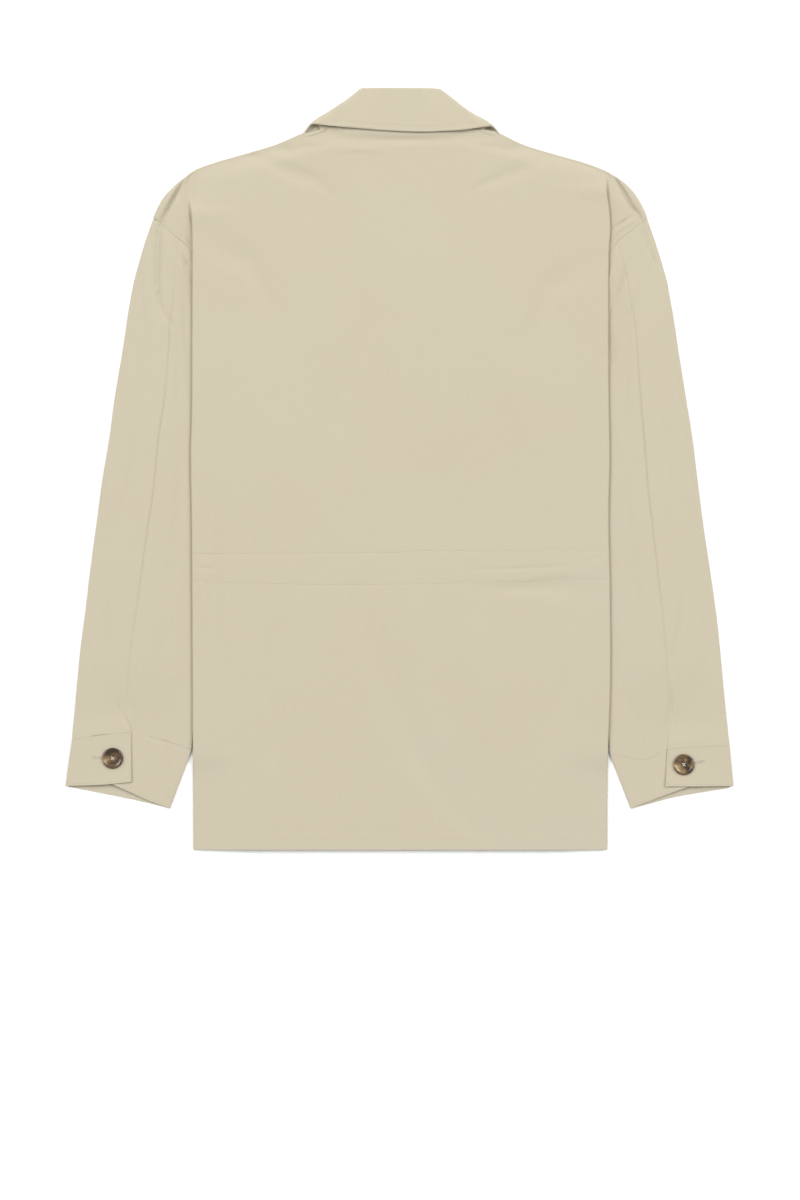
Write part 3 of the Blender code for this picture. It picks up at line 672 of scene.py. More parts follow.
def folded_heights(spots, zones, thickness):
    """Heights of points with their folds, which stay above what the cloth lies on."""
    over_cloth = np.char.startswith(zones, "arm_")
    lowest = np.where(over_cloth, LEAST_ARM_Z, thickness / 2) * MM
    height = spots[:, 2] + relief(spots, zones)
    soft = LIMIT_SOFTNESS * MM
    eased = lowest + soft * np.logaddexp(0.0, (height - lowest) / soft)
    return np.where(over_cloth, eased, np.maximum(height, lowest))


def shell(name, rows, thickness, reference, finish):
    """Cloth shell on rows of middle points, with its folds and a flat map for its weave."""
    index, spots, zones, faces = grid_faces(rows)
    spots[:, 2] = folded_heights(spots, zones, thickness)
    mesh = bpy.data.meshes.new(name)
    mesh.from_pydata(spots.tolist(), [], faces)
    flat = unrolled(rows, reference)
    places = np.array([flat[key] for key in index])
    loops = np.zeros(len(mesh.loops), dtype=np.int32)
    mesh.loops.foreach_get("vertex_index", loops)
    layer = mesh.uv_layers.new(name="cloth")
    layer.data.foreach_set("uv", places[loops].ravel())
    mesh.shade_smooth()
    item = in_scene(name, mesh)
    mesh.materials.append(finish)
    solid = item.modifiers.new("thickness", "SOLIDIFY")
    solid.thickness = thickness * MM
    solid.offset = 0.0
    solid.use_rim = True
    made = evaluated_mesh(item, name)
    item.modifiers.clear()
    item.data = made
    made.set_sharp_from_angle(angle=RIM_ANGLE)
    return item


# Back panel
THIRD = spaced(0.0, 1.0, 1 / 30)
SECOND = spaced(0.0, 1.0, 1 / 9)
TURN_STEPS = 8
MAIN = [0.0, 0.004, 0.009, 0.015, 0.022] + spaced(0.03, 1.0, 1 / 46)
FOLD_ROOM = 8.5
ARM_CROWN = 3.3
CROWN_FROM, CROWN_GROWS = 86.0, 34.0
CROWN_TO, CROWN_FADES = 642.0, 70.0
NECK_FADE = 25.2
CORNER_DIP = 3.0
CORNER_FROM, CORNER_GROWS = 66.0, 10.0
CORNER_TO, CORNER_FADES = 88.0, 9.0
SEAM_SETTLES = 95.0
FOLD_RISE = 2 * FOLD_R + 2 * SIDE_R
LEVEL_EARLY = 42.0
LEVEL_RUN = 7.0
EDGE_PUFF = 0.4
PUFF_FROM, PUFF_GROWS = 120.0, 60.0
EDGE_ROUND = 3.0
FOLD_FIRST_DEPTH = 0.3
FOLD_DEPTH_AT_ARMPIT = 38.0
UPPER_DOWN = spaced(39.0, 209.0, 1.9)
LOWER_DOWN = (
    spaced(211.5, 455, 4)
    + spaced(456.6, 504, 1.6)
    + spaced(508, 735, 4.2)
    + spaced(736.7, 761.6, 1.7)
)


def neck_down(side, out):
    return lerp(BACK_NECK_DOWN, NECK_SIDE_DOWN, smooth(out / NECK_HALF[side]))


def above_front(side, out, down, z):
    """At least one layer above the front, whose climb over the leaves it starts earlier."""
    highest = max(front_z(side, out, down), front_z(side, out - 9.0, down - 4.0))
    return max(z, highest + LAYER)


def turn(out, z, heading, angle, radius=FOLD_R):
    """Points and end of an arc one fold turn long that changes heading by angle."""
    step_angle = angle / TURN_STEPS
    chord = math.pi * radius / TURN_STEPS
    if step_angle != 0.0:
        chord *= math.sin(step_angle / 2) / (step_angle / 2)
    points = []
    for index in range(TURN_STEPS):
        middle = heading + step_angle * (index + 0.5)
        out -= chord * math.cos(middle)
        z += chord * math.sin(middle)
        points.append((out, z))
    return points


def knife_fold(main_start, z, angle, depth):
    """A turn, a straight run of the given depth and a turn back, ending at main_start."""
    trial = turn(0.0, z, 0.0, angle)
    run_out = -depth * math.cos(angle)
    run_z = depth * math.sin(angle)
    reach = trial[-1][0] * (1 + SIDE_R / FOLD_R) + run_out
    first = turn(main_start - reach, z, 0.0, angle)
    end_out, end_z = first[-1]
    run = [(end_out + run_out * share, end_z + run_z * share) for share in SECOND[1:]]
    last = turn(run[-1][0], run[-1][1], angle, -angle, SIDE_R)
    return main_start - reach, first + run + last


def side_seam(side, down):
    """Out of the seam under the body's side fold."""
    fold = edge(SIDE_FOLD, down, side)
    armpit = edge(ARMHOLE, ARMHOLE[-1][0], side)
    return lerp(armpit, fold - SIDE_TURN, smooth((down - ARMPIT_DOWN) / SEAM_SETTLES))


def arm_crown(side, out, down, start=0.0):
    """Soft fullness of the arm between its outer edge and the body's side."""
    outer = edge(SHOULDER if down < ARMHOLE[0][0] else SLEEVE_OUTER, down, side)
    inner = max(edge(SIDE_FOLD, down, side) + 1.5, start)
    share = min(max((outer - out) / max(outer - inner, 1.0), 0.0), 1.0)
    rounded = math.sin(math.pi * share) ** 0.7
    fade = smooth((CROWN_TO - down) / CROWN_FADES)
    return ARM_CROWN * rounded * smooth((down - CROWN_FROM) / CROWN_GROWS) * fade


def back_half(side, down):
    """Half row as out, z and zone, from the boundary to the centre."""
    fold = edge(SIDE_FOLD, down, side)
    main_start = fold - SHELL / 2 - SIDE_R
    if down <= ARMPIT_DOWN:
        if down <= SHOULDER[-1][0]:
            boundary = edge(SHOULDER, down, side)
        else:
            boundary = edge(ARMHOLE, down, side) - SEAM / 2
        if down < ARMHOLE[0][0]:
            main_start = min(main_start, boundary - FOLD_ROOM)
        z = above_front(side, boundary, down, WALL / 2 + LAYER)
        formed = FOLD_FORMED_DOWN[side]
        angle = math.pi * smooth((down - FOLD_START_DOWN[side]) / (formed - FOLD_START_DOWN[side]))
        growth = max(0.0, (down - formed) / (ARMPIT_DOWN - formed))
        depth = FOLD_FIRST_DEPTH + FOLD_DEPTH_AT_ARMPIT * growth
        start, fold_points = knife_fold(main_start, z, angle, depth)
        side_part = [(lerp(boundary, start, share), z) for share in THIRD] + fold_points
        for index in range(len(THIRD)):
            out, z = side_part[index]
            side_part[index] = (out, z + arm_crown(side, out, down, start))
        if angle == 0.0:
            side_part = [(out, above_front(side, out, down, z)) for out, z in side_part]
        zone = "arm_" + word(side)
        zoned = len(THIRD) - 2
        side_part = [(out, z, zone if index < zoned else "") for index, (out, z) in enumerate(side_part)]
    else:
        side_part = [None] * (len(THIRD) + TURN_STEPS - 1)
        level = side_level(side, down) - LAYER
        seam = side_seam(side, down)
        side_part += [(lerp(seam, main_start, share), level, "") for share in SECOND]
        side_part += [(out, z, "") for out, z in turn(main_start, level, math.pi, -math.pi, SIDE_R)]
    level = side_part[-1][1]
    wanted = level
    if down <= ARMPIT_DOWN:
        early = FOLD_START_DOWN[side] - LEVEL_EARLY
        wanted = WALL / 2 + LAYER + FOLD_RISE * smooth((down - early) / (FOLD_FORMED_DOWN[side] - early))
    gap = max(0.0, wanted - level)
    main = []
    for share in MAIN[1:]:
        out = lerp(main_start, 0.0, share)
        z = back_z(out, main_start, level + gap) - gap * math.exp((out - main_start) / LEVEL_RUN)
        puffed = EDGE_PUFF * smooth((down - PUFF_FROM) / PUFF_GROWS)
        z += puffed * (1 - math.exp((out - main_start) / EDGE_ROUND))
        main.append((out, above_front(side, out, down, z), "back"))
    return side_part + main


def make_back(finish):
    rows = []
    for down in UPPER_DOWN + LOWER_DOWN:
        fade = max(0.0, 1 - (down - NECK_SIDE_DOWN) / NECK_FADE)
        halves = {}
        for side in (LEFT, RIGHT):
            points = []
            for point in back_half(side, down):
                if point is None:
                    points.append(None)
                    continue
                out, z, zone = point
                corner = CORNER_DIP * smooth((out - CORNER_FROM) / CORNER_GROWS)
                corner *= 1 - smooth((out - CORNER_TO) / CORNER_FADES)
                neck = neck_down(side, out) - NECK_SIDE_DOWN + corner
                points.append(place(side, out, down + neck * fade, z, zone))
            halves[side] = points
        rows.append(halves[LEFT][:-1] + halves[RIGHT][::-1])
    return shell("back_cloth", rows, SHELL, len(halves[LEFT]) - 1, finish)


# Fronts
FRONT_DOWN = spaced(43.5, 209.0, 3.2) + LOWER_DOWN
FRONT_SPLIT = 5
LEAST_STEP = 6
LEAF_LAST_DOWN = 140.0
FRONT_EDGE_OUT = 2.0 - PLACKET_HALF


def front_outer(side, down):
    if down <= SHOULDER[-1][0]:
        return edge(SHOULDER, down, side)
    if down <= ARMPIT_DOWN:
        return edge(ARMHOLE, down, side) - GAP
    return side_seam(side, down) - GAP


def front_inner(side, down):
    """Neck curve, and below it the front edge just past the centre."""
    drop = (down - NECK_SIDE_DOWN) / (FRONT_NECK_DOWN - NECK_SIDE_DOWN)
    if drop >= 1.0:
        return FRONT_EDGE_OUT
    return NECK_HALF[side] * math.sqrt(1 - drop * drop) + 0.5


def front_columns(side, down):
    """Outs across a front, closest together where it climbs over what lies beneath."""
    outer = front_outer(side, down)
    inner = front_inner(side, down)
    sleeve = edge(SLEEVE_INNER, max(down, SLEEVE_TOP_DOWN), side)
    leaf = (LEAF_SIDE_REACH - LEAF_SIDE_WAY[1] * min(down, LEAF_LAST_DOWN)) / LEAF_SIDE_WAY[0]
    wanted = [outer] + [sleeve - inward for inward in (1.5, 6.0, 11.0, SLEEVE_RAMP_OUT)]
    wanted += [(sleeve + leaf) / 2, leaf + LEAF_RAMP / LEAF_SIDE_WAY[0], leaf + LEAF_RAMP / 2, leaf]
    wanted += [PLACKET_HALF + PLACKET_RAMP, PLACKET_HALF + PLACKET_RAMP / 2, PLACKET_HALF, inner]
    least = (outer - inner) / (LEAST_STEP * len(wanted))
    outs = []
    for index, out in enumerate(wanted):
        out = max(out, inner + least * (len(wanted) - 1 - index))
        out = min(out, outer - least * index)
        outs.append(out)
    fine = []
    for out, after in zip(outs, outs[1:]):
        fine += [lerp(out, after, step / FRONT_SPLIT) for step in range(FRONT_SPLIT)]
    return fine + [outs[-1]]


def make_front(side, finish):
    rows = []
    for down in FRONT_DOWN:
        outs = front_columns(side, down)
        rows.append([place(side, out, down, front_z(side, out, down), "front") for out in outs])
    return shell("front_" + word(side) + "_cloth", rows, SHELL, len(rows[0]) - 1, finish)


# Sleeves
SLEEVE_ROWS = 150
FRONT_SEAM_SHARE = 0.8
SLEEVE_MEAN_WIDTH = 100.0
HEAD_SHARE = 0.12
TAIL_SHARE = 0.12
TOP_Z = WALL / 2 + LAYER
UNDER_Z = WALL / 2
EDGE_SHARE = 0.03
TOP_ABOVE = [1.0, 0.98, 0.95] + spaced(0.9, 0.04, -0.05)
TOP_BELOW = spaced(0.05, 1.0, 0.06)
UNDER_ABOVE = [0.0, 0.02, 0.05] + spaced(0.1, 0.95, 0.06)
UNDER_BELOW = spaced(0.9, 0.0, -0.18)
SEW_CLIMB = 26.0
SEW_SLOPE_RUN = 60.0
SEW_STEP = 3.0
SEW_EDGE = 20.0
TAB_DIP = 0.2


def cuff_seam(side, across, upper):
    """Out and down on the cuff seam, which runs straight on the under layer."""
    if upper:
        return along(CUFF_SEAM, across, side)
    return mix(along(CUFF_SEAM, 0.0, side), along(CUFF_SEAM, 1.0, side), across)


def sleeve_point(side, row_share, across, upper=True):
    """Out and down at a share along the sleeve and a share from its outer to its inner edge."""
    outer_down = lerp(ARMHOLE[0][0], along(CUFF_SEAM, 0.0, side)[1], row_share)
    inner_down = lerp(SLEEVE_TOP_DOWN, along(CUFF_SEAM, 1.0, side)[1], row_share)
    outer = edge(SLEEVE_OUTER, outer_down, side)
    inner = edge(SLEEVE_INNER, inner_down, side)
    out = lerp(outer, inner, across)
    down = lerp(outer_down, inner_down, across)
    head = max(0.0, 1 - row_share / HEAD_SHARE)
    seam_down = lerp(ARMHOLE[0][0], SLEEVE_TOP_DOWN, across)
    out = lerp(out, edge(ARMHOLE, seam_down, side) + SEAM / 2, head)
    down = lerp(down, seam_down, head)
    tail = max(0.0, 1 - (1 - row_share) / TAIL_SHARE)
    cuff_out, cuff_down = cuff_seam(side, across, upper)
    return lerp(out, cuff_out, tail), lerp(down, cuff_down - SEAM / 2, tail)


def seam_share(side, row_share):
    """Share across at which the back seam crosses a section."""
    low, high = 0.0, 1.0
    for _ in range(20):
        middle = (low + high) / 2
        out, down = sleeve_point(side, row_share, middle)
        if out > edge(BACK_SEAM, down, side):
            low = middle
        else:
            high = middle
    return low


def sleeve_top(side, out, down):
    """Height of the sleeve's top layer, which climbs to the lapped end that it is sewn to."""
    lap_out, lap_down = along(TAB_END, 0.0, side)
    seam_down = lerp(lap_down, along(CUFF_SEAM, 0.0, side)[1], (out - lap_out) / SEW_SLOPE_RUN)
    climb = smooth((out - lap_out + 1.0) / SEW_STEP) * smooth((down - seam_down + SEW_CLIMB) / SEW_CLIMB)
    dip = TAB_DIP * smooth(1 - (along(CUFF_SEAM, 0.0, side)[0] - out) / SEW_EDGE)
    return TOP_Z + arm_crown(side, out, down) + (LAYER - dip + (THICK_SHELL - SHELL) / 2) * climb


def edge_arc(side, outer, centre_from, z_start, z_end):
    """Points round a sleeve's or cuff's edge at out and down of outer, seen from centre_from."""
    run = math.hypot(outer[0] - centre_from[0], outer[1] - centre_from[1])
    unit = ((outer[0] - centre_from[0]) / run, (outer[1] - centre_from[1]) / run)
    points = []
    for index in range(TURN_STEPS + 1):
        angle = math.pi * index / TURN_STEPS
        back = FOLD_R * (1 - math.sin(angle)) + WALL / 2
        z = lerp(z_start, z_end, (1 - math.cos(angle)) / 2)
        points.append(place(side, outer[0] - unit[0] * back, outer[1] - unit[1] * back, z))
    return points


def sleeve_arc(side, row_share, across):
    """Points round the sleeve's outer or inner edge, from its top layer to its under layer."""
    middle = sleeve_point(side, row_share, 0.5)
    return edge_arc(side, sleeve_point(side, row_share, across), middle, TOP_Z, UNDER_Z)


def sleeve_run(side, row_share, first, last, steps, zone, upper=True):
    """Points of one layer of a sleeve's section, from a first to a last share across."""
    points = []
    for step in steps:
        out, down = sleeve_point(side, row_share, lerp(first, last, step), upper)
        z = sleeve_top(side, out, down) if upper else UNDER_Z
        points.append(place(side, out, down, z, zone))
    return points


def make_sleeve(side, finish):
    seam_gap = SEAM / 2 / SLEEVE_MEAN_WIDTH
    arm = "arm_" + word(side)
    under_zone = "under_" + word(side)
    outer, inner = EDGE_SHARE, 1 - EDGE_SHARE
    top_rows = []
    under_rows = []
    for index in range(SLEEVE_ROWS + 1):
        share = index / SLEEVE_ROWS
        share = share * (0.7 + 0.3 * share)
        seam = seam_share(side, share)
        top = sleeve_run(side, share, outer, seam - seam_gap, TOP_ABOVE, arm)
        top += sleeve_arc(side, share, 0.0)
        top += sleeve_run(side, share, outer, FRONT_SEAM_SHARE - seam_gap, TOP_BELOW, under_zone, upper=False)
        top_rows.append(top)
        under = sleeve_run(side, share, seam + seam_gap, inner, UNDER_ABOVE, arm)
        under += sleeve_arc(side, share, 1.0)
        under += sleeve_run(side, share, FRONT_SEAM_SHARE + seam_gap, inner, UNDER_BELOW, "", upper=False)
        under_rows.append(under)
    top = shell("sleeve_top_" + word(side) + "_cloth", top_rows, SHELL, 0, finish)
    under = shell("sleeve_under_" + word(side) + "_cloth", under_rows, SHELL, 0, finish)
    return top, under


# Cuffs
CUFF_ROWS = 22
TAB_Z = WALL / 2 + 2 * LAYER
TAB_DROP = 0.3
TAB_EASE = 0.3
TOP_FROM_SEAM = 0.24
MOUTH_LIFT = 1.6
TAB_SHARE = 0.45


def mouth_lift(across, share):
    """Rise of the cuff's upper layers towards its open mouth, most in the middle."""
    return MOUTH_LIFT * math.sin(math.pi * across) ** 2 * share ** 2


def from_seam(start, end, share):
    """Out and down at a share of the way from the cuff seam to the cuff's mouth."""
    return mix((start[0], start[1] + SEAM / 2), end, share)


def make_cuff(side, finish):
    """A band that starts at its lapped end and goes once round the wrist to end under the lap."""
    zone = "cuff_" + word(side)
    rows = []
    corner_out, corner_down = along(CUFF_SEAM, 0.0, side)
    seam_outer = (corner_out, corner_down + SEAM / 2)
    for index in range(CUFF_ROWS + 1):
        share = index / CUFF_ROWS
        row = []
        tab_end = along(TAB_END, share, side)
        outer = mix(seam_outer, along(CUFF_TAB_EDGE, 0.0, side), share)
        for across in spaced(1.0, 0.06, -0.045):
            end = along(CUFF_TAB_EDGE, across, side)
            start = along(CUFF_SEAM, TAB_SHARE * across, side)
            out, down = from_seam(start, end, share)
            z = lerp(TAB_Z - TAB_DIP, TAB_Z, smooth(across / TAB_EASE))
            z -= TAB_DROP * smooth((across - 1 + TAB_EASE) / TAB_EASE)
            z += mouth_lift(across / 2, share)
            row.append(place(side, out, down, z, zone))
        row += edge_arc(side, outer, tab_end, TAB_Z - TAB_DIP, UNDER_Z)
        inner_seam = along(CUFF_SEAM, 1.0, side)
        inner = mix(inner_seam, along(CUFF_TOP_EDGE, 1.0, side), share)
        for across in spaced(0.05, 0.93, 0.04):
            start = cuff_seam(side, across, False)
            end = along(CUFF_UNDER_EDGE, 1 - across, side)
            out, down = from_seam(start, end, share)
            row.append(place(side, out, down, UNDER_Z))
        row += edge_arc(side, inner, outer, UNDER_Z, TOP_Z)
        for across in spaced(0.94, 0.0, -0.045):
            start = along(CUFF_SEAM, lerp(TOP_FROM_SEAM, 1.0, across), side)
            end = along(CUFF_TOP_EDGE, across, side)
            out, down = from_seam(start, end, share)
            z = TOP_Z + mouth_lift(lerp(0.5, 1.0, across), share)
            row.append(place(side, out, down, z, zone if across > 0.1 else ""))
        rows.append(row)
    return shell("cuff_" + word(side) + "_cloth", rows, THICK_SHELL, 0, finish)


# Collar
ROLL_STEPS = 8
TOP_STEPS = 60
WRAP_STEPS = 12
LEAF_STEPS = 30
ROLL_R = COLLAR_LAYER / 2
FALL_WRAP = 3.4
FALL_TOP_Z = BACK_PLATEAU + COLLAR_LAYER
FALL_SIDE_Z = FALL_TOP_Z - 1.4
LEAF_NECK = (4.0, 62.0)
LEAF_POINT = (48.0, 132.0)
LEAF_SWELL = 15.5
FALL_EDGE_DOWN = 43.4
NECK_CLEAR = 2.5
ROLL_TURNS = 0.3
RIM_FROM = 0.5
DROOP_START = 0.72
DROOP_OUT = 8.7
DROOP_DOWN = 10.0
RIM_LIFT = 0.5
RIM_OUT = 3.0
ROLL_SHARE = (WALL / 2 + ROLL_R) / FALL_EDGE_DOWN
COLLAR_SHARES = spaced(ROLL_SHARE + 0.03, 1.0, 0.05)
STAND_SHARES = spaced(0.078, 0.965, 0.05)


def stand_front(side, share, step, centre, roll):
    """Point of the stand's front, from its side round to its end."""
    angle = step * math.pi / 2
    neck_out = lerp(centre[0], NECK_HALF[side] - NECK_CLEAR, min(step * 8, 1.0))
    seam_out = neck_out * math.cos(angle) + LEAF_NECK[0] * math.sin(angle)
    seam_down = lerp(centre[1], FRONT_NECK_DOWN - NECK_CLEAR, math.sin(angle))
    from_roll = lerp(share, 1.0, 0.05 + 0.2 * step ** 3)
    return mix(mix(roll, LEAF_NECK, step), (seam_out, seam_down), from_roll)


def fall_front(share, step, root):
    """Point of the fall's front leaf, from its root at the side to its front end."""
    out, down = mix(root, mix(LEAF_NECK, LEAF_POINT, share), step)
    return out + LEAF_SWELL * share * share * math.sin(math.pi * math.sqrt(step)), down


def collar_path(side, share, sink, edge_down, neck):
    """Half path of a collar section: its front from the end to the side, then the back."""
    top_out, top_down = along(COLLAR_SLOPE, 0.0, side)
    end_out, end_down = along(COLLAR_SLOPE, 1.0, side)
    slope_run = math.hypot(end_out - top_out, end_down - top_down)
    turned = smooth(share / ROLL_TURNS)
    aside_out = lerp(1.0, (end_down - top_down) / slope_run, turned)
    aside_down = turned * (top_out - end_out) / slope_run
    slope_out, slope_down = along(COLLAR_SLOPE, share, side)
    centre_out = slope_out - aside_out * (WALL / 2 + FALL_WRAP)
    centre_down = slope_down - aside_down * (WALL / 2 + FALL_WRAP)
    low = WALL / 2 + sink
    high = FALL_SIDE_Z - sink
    droop = 0.0 if neck else max(0.0, (share - DROOP_START) / (1 - DROOP_START))
    droop_out = DROOP_OUT * droop ** 1.2
    droop_down = DROOP_DOWN * droop ** 3
    to_rim = 0.0 if neck else smooth((share - RIM_FROM) / (1 - RIM_FROM))
    rim_out = RIM_OUT * to_rim * to_rim
    rim_up = (edge(FALL_RIM, centre_out + rim_out, side) - centre_down) * to_rim
    roll = (top_out - aside_out * FALL_WRAP, top_down - aside_down * FALL_WRAP)
    points = []
    for index in range(LEAF_STEPS):
        step = 1 - index / LEAF_STEPS
        if neck:
            out, down = stand_front(side, share, step, (centre_out, centre_down), roll)
        else:
            out, down = fall_front(share, step, (centre_out + droop_out, centre_down + droop_down))
        points.append(place(side, out, down, low))
    radius = FALL_WRAP - sink
    for index in range(WRAP_STEPS + 1):
        angle = math.pi * index / WRAP_STEPS
        reach = radius * math.sin(angle)
        z = lerp(low, high, (1 - math.cos(angle)) / 2)
        hang = smooth(2 - 2 * angle / math.pi)
        out = centre_out + aside_out * reach + droop_out * hang + rim_out * (1 - hang)
        down = centre_down + aside_down * reach + droop_down * hang + rim_up * (1 - hang)
        points.append(place(side, out, down, z))
    ease = lerp(0.25, 0.75, share)
    for index in range(1, TOP_STEPS // 2 + 1):
        step = index / (TOP_STEPS // 2)
        out = (centre_out + rim_out) * (1 - step)
        down = lerp(centre_down, edge_down * share, step ** ease)
        down = lerp(down, edge(FALL_RIM, out, side), to_rim)
        z = lerp(high, FALL_TOP_Z - sink, smooth(step / 0.5))
        if not neck:
            z += RIM_LIFT * share ** 3 * smooth(step / 0.3)
        points.append(place(side, out, down, z))
    return points


def collar_row(share, sink, edge_down, neck=False):
    left = collar_path(LEFT, share, sink, edge_down, neck)
    right = collar_path(RIGHT, share, sink, edge_down, neck)
    return left[:-1] + right[::-1]


def make_fall(finish):
    rows = []
    for index in range(ROLL_STEPS, -1, -1):
        angle = math.pi * index / ROLL_STEPS
        share = ROLL_SHARE - ROLL_R * math.sin(angle) / FALL_EDGE_DOWN
        rows.append(collar_row(share, ROLL_R * (1 - math.cos(angle)), FALL_EDGE_DOWN))
    for share in COLLAR_SHARES:
        rows.append(collar_row(share, 0.0, FALL_EDGE_DOWN))
    return shell("collar_fall_cloth", rows, THICK_SHELL, len(rows[0]) // 2, finish)


def make_stand(finish):
    rows = []
    for share in STAND_SHARES:
        rows.append(collar_row(share, COLLAR_LAYER, BACK_NECK_DOWN - GAP, neck=True))
    return shell("collar_stand_cloth", rows, THICK_SHELL, len(rows[0]) // 2, finish)


def fall_edge(side, x):
    """Down of the fall's edge at x."""
    points = collar_path(side, 1.0, 0.0, FALL_EDGE_DOWN, False)[LEAF_STEPS + WRAP_STEPS + 1:]
    points = sorted((abs(point[0]) / MM, LENGTH / 2 - point[1] / MM) for point in points)
    return float(np.interp(abs(x), [point[0] for point in points], [point[1] for point in points]))


# Materials
# STONE_DARK and STONE_LIGHT are the ends of the cloth's tone: uneven yarn dye, plus painted shade in the
# twill's grooves and painted light on its rib crests
STONE_DARK = (0.446, 0.397, 0.295, 1.0)
STONE_LIGHT = (0.507, 0.454, 0.343, 1.0)
STONE_PATCH = (0.482, 0.436, 0.335, 1.0)
STONE_THREAD = (0.545, 0.49, 0.385, 1.0)
PALE_THREAD = (0.70, 0.665, 0.58, 1.0)


def socket(tree, name, way, kind, value=None):
    made = tree.interface.new_socket(name=name, in_out=way, socket_type="NodeSocket" + kind)
    if value is not None:
        made.default_value = value
    return made


def link(tree, start, end):
    tree.links.new(start, end)


def set_inputs(node, values):
    for name, value in values.items():
        node.inputs[name].default_value = value
    return node


def add_node(tree, kind, values):
    return set_inputs(tree.nodes.new(kind), values)


def maths(tree, operation, *values):
    """A Math node, with its inputs linked or set."""
    node = tree.nodes.new("ShaderNodeMath")
    node.operation = operation
    for index, value in enumerate(values):
        if isinstance(value, (int, float)):
            node.inputs[index].default_value = value
        else:
            link(tree, value, node.inputs[index])
    return node.outputs[0]


def twill_group():
    """Twill weave on a flat map in metres: its ribs, its threads and the uneven look of its dye, with painted
    shade that makes the rib crests lighter and the grooves between them darker.
    """
    tree = bpy.data.node_groups.new("twill_weave", "ShaderNodeTree")
    socket(tree, "Flat", "INPUT", "Vector")
    socket(tree, "Place", "INPUT", "Vector")
    socket(tree, "Thread", "INPUT", "Float", 0.00034)
    for name in ("Height", "Tone", "Patch"):
        socket(tree, name, "OUTPUT", "Float")
    given = tree.nodes.new("NodeGroupInput")
    result = tree.nodes.new("NodeGroupOutput")
    flat = tree.nodes.new("ShaderNodeSeparateXYZ")
    link(tree, given.outputs["Flat"], flat.inputs[0])
    warp = maths(tree, "DIVIDE", flat.outputs[0], given.outputs["Thread"])
    weft = maths(tree, "DIVIDE", flat.outputs[1], given.outputs["Thread"])
    steep = maths(tree, "MULTIPLY", weft, 0.9)
    diagonal = maths(tree, "MULTIPLY", maths(tree, "ADD", warp, steep), math.pi / 3)
    rib = maths(tree, "ABSOLUTE", maths(tree, "SINE", diagonal))
    thread = maths(tree, "ABSOLUTE", maths(tree, "SINE", maths(tree, "MULTIPLY", warp, math.pi)))
    height = maths(tree, "MULTIPLY", rib, maths(tree, "ADD", 0.55, maths(tree, "MULTIPLY", thread, 0.45)))
    link(tree, height, result.inputs["Height"])
    slub = add_node(tree, "ShaderNodeTexNoise", {"Scale": 1.0, "Detail": 2.0})
    stretch = add_node(tree, "ShaderNodeMapping", {"Scale": (900.0, 90.0, 1.0)})
    link(tree, given.outputs["Flat"], stretch.inputs["Vector"])
    link(tree, stretch.outputs[0], slub.inputs["Vector"])
    uneven = maths(tree, "MULTIPLY", slub.outputs[0], 0.6)
    # Tone: uneven yarn dye plus painted shade, the rib height making the crests lighter and the grooves
    # darker
    dye_and_rib_shade = maths(tree, "ADD", uneven, maths(tree, "MULTIPLY", height, 0.4))
    link(tree, dye_and_rib_shade, result.inputs["Tone"])
    patch = add_node(tree, "ShaderNodeTexNoise", {"Scale": 7.0, "Detail": 3.0})
    link(tree, given.outputs["Place"], patch.inputs["Vector"])
    link(tree, patch.outputs[0], result.inputs["Patch"])
    return tree


def mixed(tree, share, low, high):
    """A colour between two colours or sockets."""
    node = tree.nodes.new("ShaderNodeMix")
    node.data_type = "RGBA"
    for value, index in ((share, 0), (low, 6), (high, 7)):
        if isinstance(value, (int, float, tuple)):
            node.inputs[index].default_value = value
        else:
            link(tree, value, node.inputs[index])
    return node.outputs[2]


def finish_start(name, roughness):
    """A new material with its tree, its shader and a source of coordinates."""
    material = bpy.data.materials.new(name)
    material.use_nodes = True
    tree = material.node_tree
    shader = tree.nodes["Principled BSDF"]
    set_inputs(shader, {"Roughness": roughness})
    return material, tree, shader, tree.nodes.new("ShaderNodeTexCoord")


def twill_cloth(name, weave, dark, light, patch_tint):
    """Cotton twill: fine diagonal ribs, a soft nap and slightly uneven dye, with painted light on the rib
    crests and painted shade in the grooves between them.
    """
    material, tree, shader, coordinates = finish_start(name, 0.88)
    set_inputs(shader, {"Sheen Weight": 0.08, "Sheen Roughness": 0.6, "Specular IOR Level": 0.22})
    group = tree.nodes.new("ShaderNodeGroup")
    group.node_tree = weave
    flat = tree.nodes.new("ShaderNodeUVMap")
    flat.uv_map = "cloth"
    link(tree, flat.outputs[0], group.inputs["Flat"])
    link(tree, coordinates.outputs["Object"], group.inputs["Place"])
    # Colour between the dark and light stone by the tone: uneven dye, plus painted light on rib crests and
    # painted shade in the grooves
    body = mixed(tree, group.outputs["Tone"], dark, light)
    ramp = add_node(tree, "ShaderNodeMapRange", {"From Min": 0.4, "From Max": 0.62, "To Max": 0.4})
    link(tree, group.outputs["Patch"], ramp.inputs["Value"])
    link(tree, mixed(tree, ramp.outputs[0], body, patch_tint), shader.inputs["Base Color"])
    bump = add_node(tree, "ShaderNodeBump", {"Strength": 0.35, "Distance": 0.00012})
    link(tree, group.outputs["Height"], bump.inputs["Height"])
    link(tree, bump.outputs[0], shader.inputs["Normal"])
    return material


def sewing_thread(name, colour):
    material, tree, shader, coordinates = finish_start(name, 0.6)
    set_inputs(shader, {"Sheen Weight": 0.15})
    twist = add_node(tree, "ShaderNodeTexNoise", {"Scale": 2200.0})
    link(tree, coordinates.outputs["Object"], twist.inputs["Vector"])
    darker = tuple(0.82 * value for value in colour[:3]) + (1.0,)
    link(tree, mixed(tree, twist.outputs[0], darker, colour), shader.inputs["Base Color"])
    return material


